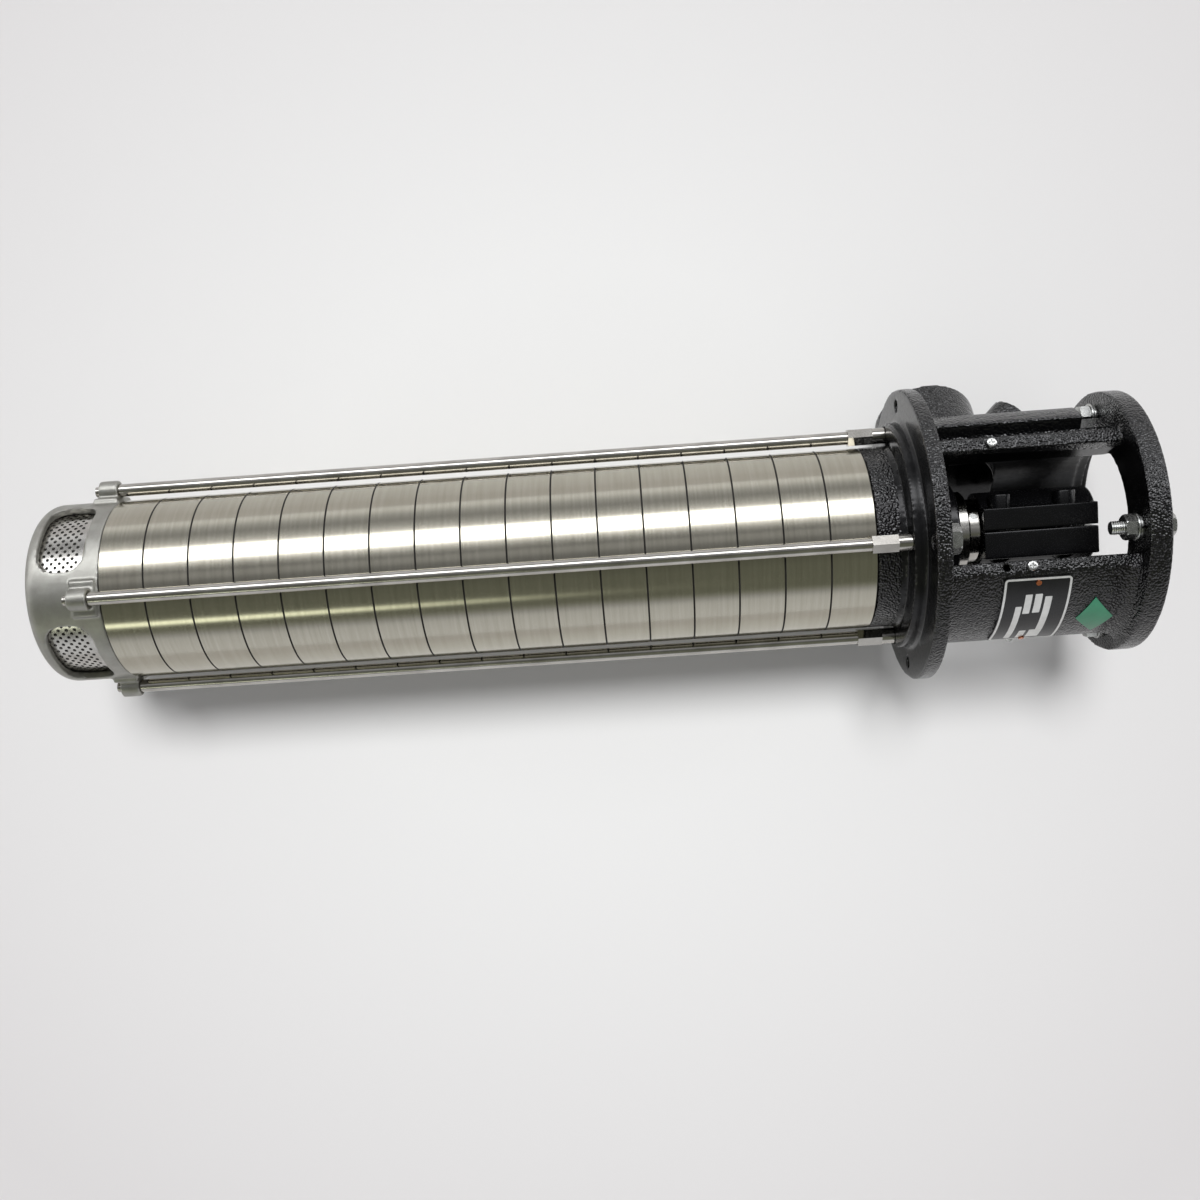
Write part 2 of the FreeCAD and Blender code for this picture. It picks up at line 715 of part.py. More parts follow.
def corner_group(label, circle_radius, rings):
    """Four alike fasteners about the Z axis; each ring is (outline maker, foot, height)."""
    body = new_body(label)
    made = []
    for number, (kind, size, foot, height) in enumerate(rings):
        sketch = new_sketch(body, f"outline_{number}", "XY_Plane", [("z", foot)])
        if kind == "hexagon":
            add_outline(sketch, hexagon(size, circle_radius, "0"))
        else:
            add_circle(sketch, circle_radius, "0", size)
        if kind == "bore":
            DOC.recompute()
            made.append(pocket(body, f"bore_{number}", sketch, height, True))
        else:
            made.append(pad(body, f"grow_{number}", sketch, height))
    around(body, "round_the_axis", made, CORNER_COUNT)


def fasteners():
    """The rods' nuts and washers, and the motor's bolts, nuts and washers."""
    rod_bore = "rod_shank_radius + thread_gap"
    washer_top = "(flange_thickness + rod_washer_thickness)"
    corner_group("tie_rod_washers", "rod_circle_radius", [
        ("disc", "rod_washer_radius", "flange_thickness", "rod_washer_thickness"),
        ("bore", rod_bore, "flange_thickness - 1", "rod_washer_thickness + 2"),
    ])
    corner_group("tie_rod_nuts", "rod_circle_radius", [
        ("hexagon", "rod_nut_flat", washer_top, "rod_nut_height"),
        ("bore", rod_bore, f"{washer_top} - 1", "rod_nut_height + 2"),
    ])
    bolt_bore = "motor_bolt_radius + thread_gap"
    spring_foot = "(motor_flange_foot - spring_washer_thickness)"
    washer_foot = f"({spring_foot} - motor_washer_thickness)"
    corner_group("motor_bolts", "motor_bolt_circle_radius", [
        ("disc", "motor_bolt_radius", f"{MOTOR_FACE} - motor_bolt_length", "motor_bolt_length"),
        ("hexagon", "motor_head_flat", MOTOR_FACE, "motor_head_height"),
    ])
    corner_group("motor_washers", "motor_bolt_circle_radius", [
        ("disc", "motor_washer_radius", washer_foot, "motor_washer_thickness"),
        ("bore", bolt_bore, f"{washer_foot} - 1", "motor_washer_thickness + 2"),
    ])
    corner_group("motor_spring_washers", "motor_bolt_circle_radius", [
        ("disc", "spring_washer_radius", spring_foot, "spring_washer_thickness"),
        ("bore", bolt_bore, f"{spring_foot} - 1", "spring_washer_thickness + 2"),
    ])
    corner_group("motor_nuts", "motor_bolt_circle_radius", [
        ("hexagon", "motor_head_flat", f"{washer_foot} - motor_nut_height", "motor_nut_height"),
        ("bore", bolt_bore, f"{washer_foot} - motor_nut_height - 1", "motor_nut_height + 2"),
    ])


def shaft_seal():
    """The cartridge seal in the head: still gland and ring, turning ring and drive collar."""
    neck = "(seal_bore_radius - seal_fit_gap)"
    revolve(new_body("seal_gland"), "gland", [
        ("gland_bore_radius", "seal_boss_top - gland_neck_depth"),
        (neck, "seal_boss_top - gland_neck_depth"),
        (neck, "seal_boss_top"),
        ("gland_radius", "seal_boss_top"),
        ("gland_radius", f"{GLAND_TOP} - 1"),
        ("gland_radius - 1", GLAND_TOP),
        ("gland_bore_radius", GLAND_TOP),
    ])
    still_top = "(seal_bore_floor + seal_ring_height)"
    revolve(new_body("seal_stationary_ring"), "ring", rectangle(
        "shaft_hole_radius", neck, "seal_bore_floor", still_top))
    turning = "(gland_bore_radius - seal_running_gap)"
    ring_top = f"({still_top} + seal_face_gap + seal_ring_height)"
    revolve(new_body("seal_rotating_ring"), "ring", rectangle(
        "shaft_radius", turning, f"{still_top} + seal_face_gap", ring_top))
    revolve(new_body("seal_spring_housing"), "housing", rectangle(
        "shaft_radius", turning, ring_top, COLLAR_FOOT))
    body = new_body("seal_drive_collar")
    revolve(body, "collar", [
        ("shaft_radius", COLLAR_FOOT),
        ("collar_radius", COLLAR_FOOT),
        ("collar_radius", f"{COLLAR_FOOT} + collar_height - 1"),
        ("collar_radius - 1", f"{COLLAR_FOOT} + collar_height"),
        ("shaft_radius", f"{COLLAR_FOOT} + collar_height"),
    ])
    middle = f"{COLLAR_FOOT} + collar_height / 2"
    hole = new_sketch(body, "set_screw_outline", "YZ_Plane", [("z", "shaft_radius")])
    add_circle(hole, "0", middle, "set_screw_radius")
    DOC.recompute()
    first_hole = pocket(body, "first_set_screw_hole", hole, "collar_radius", True)
    around(body, "set_screw_holes", [first_hole], SET_SCREW_COUNT)
    screws = new_body("collar_set_screws")
    outline = new_sketch(screws, "screw_outline", "YZ_Plane", [("z", "shaft_radius")])
    add_circle(outline, "0", middle, "set_screw_radius - thread_gap")
    screw = pad(screws, "screw", outline, "collar_radius - shaft_radius - 1")
    around(screws, "screws", [screw], SET_SCREW_COUNT)


def rotor_core():
    """The pump shaft with the ring above the impellers and the nut below them."""
    shaft = new_body("pump_shaft")
    revolve(shaft, "shaft", [
        ("0", "shaft_foot"),
        ("shaft_radius - 1", "shaft_foot"),
        ("shaft_radius", "shaft_foot + 1"),
        ("shaft_radius", "shaft_top"),
        ("0", "shaft_top"),
    ])
    pin_hole = new_sketch(shaft, "pin_hole_outline", "YZ_Plane", [("z", "-shaft_radius - 1")])
    add_circle(pin_hole, "0", "coupling_pin_height", "coupling_pin_radius + thread_gap")
    DOC.recompute()
    pocket(shaft, "pin_hole", pin_hole, "2 * shaft_radius + 2", True)
    stack_top = f"({CHAMBERS_FOOT} + hub_lift + {STAGE_COUNT} * chamber_pitch)"
    revolve(new_body("impeller_stop_ring"), "ring", rectangle(
        "shaft_radius", "stop_ring_radius", stack_top, f"{stack_top} + stop_ring_height"))
    body = new_body("impeller_lock_nut")
    foot = f"{CHAMBERS_FOOT} + hub_lift - end_nut_height"
    outline = new_sketch(body, "nut_outline", "XY_Plane", [("z", foot)])
    add_outline(outline, hexagon("end_nut_flat"))
    pad(body, "nut", outline, "end_nut_height")
    bore = new_sketch(body, "bore_outline", "XY_Plane", [("z", f"{foot} - 1")])
    add_circle(bore, "0", "0", "shaft_radius")
    DOC.recompute()
    pocket(body, "bore", bore, "end_nut_height + 2", True)


def coupling_half(label, side):
    """One half of the split coupling, on the side that the sign says."""
    body = new_body(label)
    barrel = new_sketch(body, "barrel_outline", "XY_Plane", [("z", "coupling_foot")])
    add_circle(barrel, "0", "0", "coupling_radius")
    pad(body, "barrel", barrel, "coupling_length")
    near = f"{side} * coupling_half_gap"
    far = "coupling_thread_ear" if side > 0 else "-coupling_head_ear"
    ears = new_sketch(body, "ears_outline", "XY_Plane", [("z", "coupling_foot")])
    add_outline(ears, rectangle(near, far, "-coupling_ear_reach", "coupling_ear_reach"))
    pad(body, "ears", ears, "coupling_length")
    split = new_sketch(body, "split_outline", "XY_Plane", [("z", "coupling_foot - 1")])
    add_outline(split, rectangle(
        near, f"{-side} * 2 * coupling_radius", "-2 * coupling_radius", "2 * coupling_radius"))
    DOC.recompute()
    pocket(body, "split", split, "coupling_length + 2", True)
    for name, radius, foot, depth in (
        ("pump_shaft_bore", "shaft_radius", "coupling_foot - 1", "coupling_length + 2"),
        ("motor_shaft_bore", "motor_shaft_radius",
         "coupling_foot + coupling_length - motor_shaft_depth", "motor_shaft_depth + 1"),
    ):
        bore = new_sketch(body, f"{name}_outline", "XY_Plane", [("z", foot)])
        add_circle(bore, "0", "0", radius)
        DOC.recompute()
        pocket(body, name, bore, depth, True)
    places = [(f"{row} * coupling_screw_offset", level)
              for row in (-1, 1) for level in ("coupling_screw_low", "coupling_screw_high")]
    holes = new_sketch(body, "screw_hole_outline", "YZ_Plane")
    rooms = new_sketch(body, "head_room_outline", "YZ_Plane", [("z", far)])
    for across, up in places:
        add_circle(holes, across, up, "coupling_screw_radius + thread_gap")
        add_circle(rooms, across, up, "coupling_head_radius + coupling_head_room")
    DOC.recompute()
    outwards = side > 0
    pocket(body, "screw_holes", holes, "2 * coupling_radius", outwards)
    pocket(body, "head_rooms", rooms, "2 * coupling_radius", outwards)
    pin = new_sketch(body, "pin_hole_outline", "YZ_Plane")
    add_circle(pin, "0", "coupling_pin_height", "coupling_pin_radius + thread_gap")
    DOC.recompute()
    pocket(body, "pin_hole", pin, "shaft_radius + coupling_pin_hold + 1", outwards)


def coupling():
    """The split coupling that clamps the pump shaft and the motor shaft together."""
    coupling_half("coupling_half_a", -1)
    coupling_half("coupling_half_b", 1)
    body = new_body("coupling_screws")
    head_face = "-coupling_head_ear - coupling_head_height"
    heads = new_sketch(body, "head_outline", "YZ_Plane", [("z", head_face)])
    shanks = new_sketch(body, "shank_outline", "YZ_Plane", [("z", "-coupling_head_ear")])
    for row in (-1, 1):
        for level in ("coupling_screw_low", "coupling_screw_high"):
            add_circle(heads, f"{row} * coupling_screw_offset", level, "coupling_head_radius")
            add_circle(shanks, f"{row} * coupling_screw_offset", level, "coupling_screw_radius")
    pad(body, "heads", heads, "coupling_head_height")
    pad(body, "shanks", shanks, "coupling_head_ear + coupling_thread_length")
    pin_body = new_body("coupling_pin")
    pin = new_sketch(pin_body, "pin_outline", "YZ_Plane",
                     [("z", "-shaft_radius - coupling_pin_hold")])
    add_circle(pin, "0", "coupling_pin_height", "coupling_pin_radius")
    pad(pin_body, "pin", pin, "2 * (shaft_radius + coupling_pin_hold)")


def radial_cylinder(name, radius, start, length, angle, offset, level):
    """A cylinder that points outwards at a bound angle, shifted sideways from the axis."""
    turn = f"(({angle}) * 1deg)"
    base = (f"({start}) * cos({turn}) - ({offset}) * sin({turn})",
            f"({start}) * sin({turn}) + ({offset}) * cos({turn})", level)
    outwards = Rotation(Vector(0, 0, 1), value(angle)) * Rotation(Vector(0, 1, 0), 90)
    return tilted_cylinder(name, radius, length, base, outwards)


GUARD_SCREWS = [("front_window_angle", -1, "guard_screw_upper_height"),
                ("front_window_angle", 1, "guard_screw_lower_height"),
                ("back_window_angle", 1, "guard_screw_upper_height"),
                ("back_window_angle", -1, "guard_screw_lower_height")]
SPARE_GUARD_HOLES = [("front_window_angle", 1, "guard_screw_upper_height"),
                     ("back_window_angle", -1, "guard_screw_upper_height")]
PLATE_OUTSIDE = "(lantern_radius + sheet_gap + nameplate_thickness)"
RIVET_HEIGHT = "nameplate_foot + nameplate_height / 2"
RIVET_ANGLES = ("nameplate_start_angle + rivet_edge_angle",
                "nameplate_start_angle + nameplate_angle - rivet_edge_angle")


def guard_holes():
    """The screws' holes in the lantern's flat pads, with a spare one by the nameplate wall."""
    return [radial_cylinder(f"guard_hole_{number}", "guard_screw_radius + thread_gap",
                            "lantern_radius - guard_pad_inset - guard_screw_depth - 0.5",
                            "guard_screw_depth + 1", window,
                            f"{row} * guard_screw_offset", level)
            for number, (window, row, level) in enumerate(GUARD_SCREWS + SPARE_GUARD_HOLES)]


def guard_screws():
    """The four screws left in the lantern's flat pads, where the coupling guards go."""
    pieces = []
    for number, (window, row, level) in enumerate(GUARD_SCREWS):
        offset = f"{row} * guard_screw_offset"
        head = radial_cylinder(f"guard_head_{number}", "guard_screw_head_radius",
                               "lantern_radius - guard_pad_inset", "guard_screw_head_height",
                               window, offset, level)
        shank = radial_cylinder(f"guard_shank_{number}", "guard_screw_radius",
                                "lantern_radius - guard_pad_inset - guard_screw_depth",
                                "guard_screw_depth", window, offset, level)
        pieces += [head, shank]
    return pieces


def rivet_holes():
    """The two blind holes behind the nameplate."""
    return [radial_cylinder(f"rivet_hole_{number}", "rivet_shank_radius + thread_gap",
                            f"{PLATE_OUTSIDE} - rivet_depth - 0.5", "rivet_depth + 2",
                            angle, "0", RIVET_HEIGHT)
            for number, angle in enumerate(RIVET_ANGLES)]


def nameplate():
    """A bent plate on the lantern's wide wall, with a rivet near each end."""
    plate = DOC.addObject("PartDesign::Body", "bent_plate")
    revolve(plate, "plate", rectangle(
        "lantern_radius + sheet_gap", PLATE_OUTSIDE,
        "nameplate_foot", "nameplate_foot + nameplate_height"),
        "nameplate_start_angle", "nameplate_angle")
    holes, rivets = [], []
    for number, angle in enumerate(RIVET_ANGLES):
        holes.append(radial_cylinder(f"plate_hole_{number}", "rivet_shank_radius + thread_gap",
                                     f"{PLATE_OUTSIDE} - 2", "4", angle, "0", RIVET_HEIGHT))
        rivets.append(radial_cylinder(f"rivet_head_{number}", "rivet_radius", PLATE_OUTSIDE,
                                      "rivet_head_height", angle, "0", RIVET_HEIGHT))
        rivets.append(radial_cylinder(f"rivet_shank_{number}", "rivet_shank_radius",
                                      f"{PLATE_OUTSIDE} - rivet_depth", "rivet_depth",
                                      angle, "0", RIVET_HEIGHT))
    keep(cut("nameplate", plate, fused("plate_holes", holes)), "nameplate")
    keep(fused("nameplate_rivets", rivets), "nameplate_rivets")


def inspection_label():
    """A thin diamond sticker on the lantern's wide wall, above the nameplate."""
    body = new_body("inspection_label")
    low = "(nameplate_foot + nameplate_height + label_gap)"
    middle = f"({low} + label_half_height)"
    high = f"({low} + 2 * label_half_height)"
    inside = "lantern_radius + sheet_gap"
    revolve(body, "sheet", rectangle(inside, f"{inside} + label_thickness", low, high),
            "label_angle - 110", "40")
    diamond = new_sketch(body, "diamond_outline", "XZ_Plane",
                         turn=(Vector(0, 1, 0), "label_angle"))
    outer = "2 * label_half_width"
    add_outline(diamond, rectangle(f"-{outer}", outer, f"{low} - 1", f"{high} + 1"))
    add_outline(diamond, [("0", low), ("label_half_width", f"{middle} + label_rise"),
                          ("0", high), ("-label_half_width", f"{middle} - label_rise")])
    DOC.recompute()
    pocket(body, "diamond", diamond, "2 * lantern_radius", True)


def main():
    pump_head()
    suction_strainer()
    strainer_screen()
    inlet_plate()
    stacked("stage_chambers", stage_chambers(), STAGE_COUNT)
    tie_rods()
    fasteners()
    shaft_seal()
    rotor_core()
    stacked("impellers", impellers(), STAGE_COUNT)
    coupling()
    keep(fused("guard_screws", guard_screws()), "guard_screws")
    nameplate()
    inspection_label()


def check_and_write():
    """Refuse a failed feature or a broken solid, then write one file per sub-part."""
    DOC.recompute()
    for item in DOC.Objects:
        if "Invalid" in item.State or "Error" in item.State:
            raise RuntimeError(f"{item.Name} failed: {item.State}")
    for part in PARTS:
        if part.Shape.isNull() or not part.Shape.isValid():
            raise RuntimeError(f"{part.Label} has no valid shape")
    os.makedirs("parts", exist_ok=True)
    for part in PARTS:
        part.Shape.exportStep(f"parts/{part.Label}.step")
        print(f"{part.Label}: {len(part.Shape.Solids)} solids, {part.Shape.Volume:.1f} mm3")


main()
check_and_write()
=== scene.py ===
"""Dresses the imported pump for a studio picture.

The pump stands along +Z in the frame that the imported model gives, with the centre of its tank
flange's underside at the origin and the motor flange at the top. Angles about the shaft are
counted from +X towards +Y. Lengths are in metres and angles in degrees, unless a name ends in
another unit.
"""

import logging
from dataclasses import dataclass, field
from enum import Enum
from functools import cache
from math import atan2, cos, floor, hypot, pi, radians, sin, tau
from typing import Callable, Sequence

import bmesh
import bpy
from mathutils import Matrix, Vector

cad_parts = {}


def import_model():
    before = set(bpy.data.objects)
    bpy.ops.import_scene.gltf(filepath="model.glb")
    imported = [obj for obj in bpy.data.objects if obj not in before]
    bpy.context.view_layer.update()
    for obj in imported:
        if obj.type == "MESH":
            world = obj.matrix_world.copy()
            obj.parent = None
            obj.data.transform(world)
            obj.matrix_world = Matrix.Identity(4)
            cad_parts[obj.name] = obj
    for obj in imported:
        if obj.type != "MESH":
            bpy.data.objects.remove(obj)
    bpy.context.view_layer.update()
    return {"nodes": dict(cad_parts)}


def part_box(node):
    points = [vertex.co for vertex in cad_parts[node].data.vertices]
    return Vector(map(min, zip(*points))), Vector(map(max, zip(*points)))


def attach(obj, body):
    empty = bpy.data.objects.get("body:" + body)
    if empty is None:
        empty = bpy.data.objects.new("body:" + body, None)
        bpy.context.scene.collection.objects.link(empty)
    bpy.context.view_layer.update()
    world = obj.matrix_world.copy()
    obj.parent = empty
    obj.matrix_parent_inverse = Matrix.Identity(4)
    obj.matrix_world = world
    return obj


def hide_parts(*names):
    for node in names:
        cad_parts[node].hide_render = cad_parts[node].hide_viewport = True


LOG = logging.getLogger("pump")
MM = 0.001
# How close two points lie to count as one place, and as one vertex.
NEAR = 1e-5
DOUBLE = 1e-6
# Millimetres of grain for each radian round the shaft: the fewer, the longer the streaks.
BELT_STROKE_MM = 2.2
# A noise texture seldom leaves this range.
NOISE_LOW, NOISE_HIGH = 0.3, 0.7
# A Mix node's colour sockets share their names with its other ones, so they go by number.
MIX_A, MIX_B, MIX_RESULT = 6, 7, 2
NODE_GAP = 220
PHOTO_PIXELS = 1200

Point = tuple[float, float, float]
Piece = bpy.types.Object
Socket = bpy.types.NodeSocket


# Meshes


class Select(Enum):
    """Which kind of element an edit selects."""

    VERT = "VERT"
    EDGE = "EDGE"
    FACE = "FACE"


def level(*heights: float) -> Callable[[Point], bool]:
    """Make a test for points that lie at one of some heights.

    Args:
        heights: The heights.

    Returns:
        The test.
    """
    return lambda p: any(abs(p[2] - height) < NEAR for height in heights)


class Modeller:
    """Keeps one mesh object in hand and shapes it with edit mode operators."""

    CAST_ANGLE = 40.0
    BORE_SIDES = 32
    CORNER_SEGMENTS = 5
    BEND_STEP = 1.2 * MM

    def __init__(self, name: str) -> None:
        """Start a piece under its final name.

        Args:
            name: The finished piece's name.
        """
        self.name = name

    @staticmethod
    def clear() -> None:
        """Leave edit mode and let go of everything."""
        if bpy.context.object and bpy.context.object.mode != "OBJECT":
            bpy.ops.object.mode_set(mode="OBJECT")
        bpy.ops.object.select_all(action="DESELECT")

    def hold(self, obj: Piece) -> Piece:
        """Make an object the only one selected and active.

        Args:
            obj: The object to hold.

        Returns:
            The same object.
        """
        self.clear()
        obj.select_set(True)
        bpy.context.view_layer.objects.active = obj
        return obj

    def tube(self, radius: float, foot: float, top: float, sides: int,
             ends: str = "NGON") -> Piece:
        """Add a cylinder about the shaft axis.

        Args:
            radius: Its radius.
            foot: Its lower end.
            top: Its upper end.
            sides: How many sides it has.
            ends: How its ends are filled.

        Returns:
            The new object, named for the piece.
        """
        self.clear()
        bpy.ops.mesh.primitive_cylinder_add(
            vertices=sides, radius=radius, depth=top - foot, end_fill_type=ends,
            location=(0, 0, (foot + top) / 2))
        obj = bpy.context.object
        obj.name = self.name
        obj.data.name = self.name
        bpy.ops.object.transform_apply()
        return obj

    def pick(self, kind: Select, test: Callable[[Point], bool]) -> None:
        """Select the elements of the held mesh whose middle passes a test.

        Args:
            kind: Vertices, edges or faces.
            test: Takes the element's middle and says whether it is wanted.
        """
        bpy.ops.object.mode_set(mode="EDIT")
        bpy.ops.mesh.select_mode(type=kind.value)
        bpy.ops.mesh.select_all(action="DESELECT")
        mesh = bmesh.from_edit_mesh(bpy.context.object.data)
        elements, middle = {
            Select.VERT: (mesh.verts, lambda vert: vert.co),
            Select.EDGE: (mesh.edges, lambda edge: (edge.verts[0].co + edge.verts[1].co) / 2),
            Select.FACE: (mesh.faces, lambda face: face.calc_center_median()),
        }[kind]
        for element in elements:
            element.select = test(tuple(middle(element)))
        mesh.select_flush_mode()
        bmesh.update_edit_mesh(bpy.context.object.data)

    def finish(self, obj: Piece, angle: float = 35.0) -> Piece:
        """Merge doubles, turn the faces outwards and smooth the shallow edges.

        Args:
            obj: The mesh object.
            angle: The steepest angle that is shaded smooth.

        Returns:
            The same object.
        """
        self.hold(obj)
        bpy.ops.object.mode_set(mode="EDIT")
        bpy.ops.mesh.select_all(action="SELECT")
        bpy.ops.mesh.remove_doubles(threshold=DOUBLE)
        bpy.ops.mesh.normals_make_consistent(inside=False)
        bpy.ops.object.mode_set(mode="OBJECT")
        bpy.ops.object.shade_smooth_by_angle(angle=radians(angle))
        return obj

    def apply(self, obj: Piece, kind: str, **settings: object) -> Piece:
        """Add one modifier, set it and apply it.

        Args:
            obj: The mesh object.
            kind: The modifier's type.
            settings: The modifier's properties.

        Returns:
            The same object.
        """
        self.hold(obj)
        modifier = obj.modifiers.new(kind.title(), kind)
        for name, setting in settings.items():
            setattr(modifier, name, setting)
        bpy.ops.object.modifier_apply(modifier=modifier.name)
        return obj

    def softened(self, node: Piece, voxel: float, keep: float) -> Piece:
        """Copy a solid and round all its edges a little, as casting and tumbling leave them.

        Args:
            node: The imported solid, which stays as it is.
            voxel: The remeshing grid, about the size of the rounding.
            keep: The share of the faces that is kept at the end.

        Returns:
            The rounded copy.
        """
        obj = copy_of(node, self.name)
        self.hold(obj)
        bpy.ops.object.mode_set(mode="EDIT")
        bpy.ops.mesh.select_all(action="SELECT")
        bpy.ops.mesh.remove_doubles(threshold=NEAR)
        self.apply(obj, "REMESH", mode="VOXEL", voxel_size=voxel, adaptivity=0.0)
        self.apply(obj, "CORRECTIVE_SMOOTH", factor=0.5, iterations=3, smooth_type="SIMPLE",
                   use_only_smooth=True)
        self.apply(obj, "DECIMATE", decimate_type="COLLAPSE", ratio=keep)
        bpy.ops.object.shade_smooth_by_angle(angle=radians(self.CAST_ANGLE))
        return obj

    def combine(self, obj: Piece, tool: Piece, operation: str) -> Piece:
        """Cut a mesh with another, or keep what both share, and delete the other.

        Args:
            obj: The mesh that stays.
            tool: The mesh that shapes it.
            operation: DIFFERENCE, INTERSECT or UNION.

        Returns:
            The shaped mesh.
        """
        self.apply(obj, "BOOLEAN", object=tool, operation=operation, solver="EXACT")
        bpy.data.objects.remove(tool)
        return obj

    def prism(self, radius: float, foot: float, top: float, sides: int,
              bevel: float = 0.0, ends: str = "both") -> Piece:
        """Add a prism about the shaft axis with its end edges bevelled.

        Args:
            radius: Its corner radius.
            foot: Its lower end.
            top: Its upper end.
            sides: How many sides it has.
            bevel: The bevel's width.
            ends: Which ends are bevelled: both or top.

        Returns:
            The new object.
        """
        obj = self.tube(radius, foot, top, sides)
        if bevel:
            self.pick(Select.EDGE, level(top) if ends == "top" else level(foot, top))
            bpy.ops.mesh.bevel(offset=bevel, segments=2, affect="EDGES")
            bpy.ops.object.mode_set(mode="OBJECT")
        return obj

    def threaded(self, radius: float, foot: float, top: float, pitch: float,
                 depth: float) -> Piece:
        """Add a rod about the shaft axis with thread rings along its side.

        Args:
            radius: The crests' radius.
            foot: Its lower end.
            top: Its upper end.
            pitch: The distance between crests.
            depth: How deep the grooves are.

        Returns:
            The new object.
        """
        obj = self.tube(radius, foot, top, self.BORE_SIDES)
        cuts = 2 * max(1, round((top - foot) / pitch))
        middle = (foot + top) / 2
        self.pick(Select.EDGE, level(middle))
        bpy.ops.mesh.subdivide(number_cuts=cuts - 1)
        step = (top - foot) / cuts
        self.pick(Select.VERT, lambda p: round((p[2] - foot) / step) % 2 == 0)
        scale = (radius - depth) / radius
        bpy.ops.transform.resize(value=(scale, scale, 1), center_override=(0, 0, middle))
        bpy.ops.object.mode_set(mode="OBJECT")
        return obj

    def wrapped(self, width: float, height: float, corner: float, radius: float,
                thickness: float, rim: float = 0.0) -> Piece:
        """Add a thin round-cornered sheet bent round the shaft, its middle at the front.

        Args:
            width: Its length round the shaft.
            height: Its height.
            corner: Its corner radius.
            radius: The radius of its inner face.
            thickness: Its thickness.
            rim: How wide a rim is left when the middle is cut out, or 0 to keep it whole.

        Returns:
            The new object, centred at height 0.
        """
        self.clear()
        bpy.ops.mesh.primitive_plane_add(size=1.0, rotation=(radians(90), 0, 0))
        obj = bpy.context.object
        obj.name = self.name
        obj.data.name = self.name
        obj.scale = (width, height, 1)
        bpy.ops.object.transform_apply()
        bpy.ops.object.mode_set(mode="EDIT")
        bpy.ops.mesh.select_all(action="SELECT")
        bpy.ops.mesh.bevel(offset=corner, segments=self.CORNER_SEGMENTS, affect="VERTICES")
        if rim:
            bpy.ops.mesh.select_all(action="SELECT")
            bpy.ops.mesh.inset(thickness=rim)
            bpy.ops.mesh.delete(type="FACE")
        strips = max(2, round(width / self.BEND_STEP))
        for index in range(1, strips):
            bpy.ops.mesh.select_all(action="SELECT")
            bpy.ops.mesh.bisect(plane_co=(width * (index / strips - 0.5), 0, 0),
                                plane_no=(1, 0, 0))
        self.apply(obj, "SOLIDIFY", thickness=thickness, offset=1.0)
        self.apply(obj, "SIMPLE_DEFORM", deform_method="BEND", deform_axis="Z",
                   angle=width / radius)
        obj.data.transform(Matrix.Translation((0, -radius, 0)))
        return obj


def joined(name: str, parts: Sequence[Piece]) -> Piece:
    """Join meshes into one piece.

    Args:
        name: The piece's name.
        parts: The meshes.

    Returns:
        The joined object.
    """
    modeller = Modeller(name)
    obj = modeller.hold(parts[0])
    for part in parts[1:]:
        part.select_set(True)
    bpy.ops.object.join()
    obj.name = name
    obj.data.name = name
    return obj


def copy_of(obj: Piece, name: str, spot: Matrix = Matrix.Identity(4)) -> Piece:
    """Copy a piece with its own mesh and put it elsewhere.

    Args:
        obj: The piece to copy.
        name: The copy's name.
        spot: Where it goes, from where the piece is.

    Returns:
        The copy, with its place in its mesh.
    """
    copy = obj.copy()
    copy.data = obj.data.copy()
    copy.name = name
    copy.data.name = name
    bpy.context.collection.objects.link(copy)
    copy.data.transform(spot)
    return copy


# Finishes


def linear(hex_colour: str) -> tuple[float, float, float, float]:
    """Turn an sRGB hex colour into linear light.

    Args:
        hex_colour: Six hex digits.

    Returns:
        Linear red, green and blue, and an alpha of 1.
    """
    channels = [int(hex_colour[i:i + 2], 16) / 255 for i in (0, 2, 4)]
    red, green, blue = (c / 12.92 if c <= 0.04045 else ((c + 0.055) / 1.055) ** 2.4
                        for c in channels)
    return red, green, blue, 1.0


class Tree:
    """A node tree, grown one node at a time."""

    def __init__(self, owner: bpy.types.Material | bpy.types.World) -> None:
        """Start with no node.

        Args:
            owner: The new material or world that the tree belongs to.
        """
        owner.use_nodes = True
        self.tree = owner.node_tree
        self.tree.nodes.clear()

    def add(self, kind: str, links: dict | None = None, values: dict | None = None,
            out: str | int = 0, stops: Sequence[tuple[float, str]] = (),
            **settings: object) -> Socket | None:
        """Add a node with its settings, its values and the links into it.

        Args:
            kind: The node's type without the prefix that they all share.
            links: Input name or number to the output that feeds it.
            values: Input name or number to its own value.
            out: The name or number of the output that is wanted.
            stops: Places and sRGB hex colours along a colour ramp.
            settings: The node's properties.

        Returns:
            That output, or None if the node has none.
        """
        node = self.tree.nodes.new("ShaderNode" + kind)
        node.location = (NODE_GAP * len(self.tree.nodes), 0)
        for name, setting in settings.items():
            setattr(node, name, setting)
        for name, value in (values or {}).items():
            node.inputs[name].default_value = value
        for name, output in (links or {}).items():
            self.tree.links.new(output, node.inputs[name])
        if stops:
            elements = node.color_ramp.elements
            while len(elements) < len(stops):
                elements.new(0.5)
            for element, (place, colour) in zip(elements, stops):
                element.position = place
                element.color = linear(colour)
        return node.outputs[out] if node.outputs else None


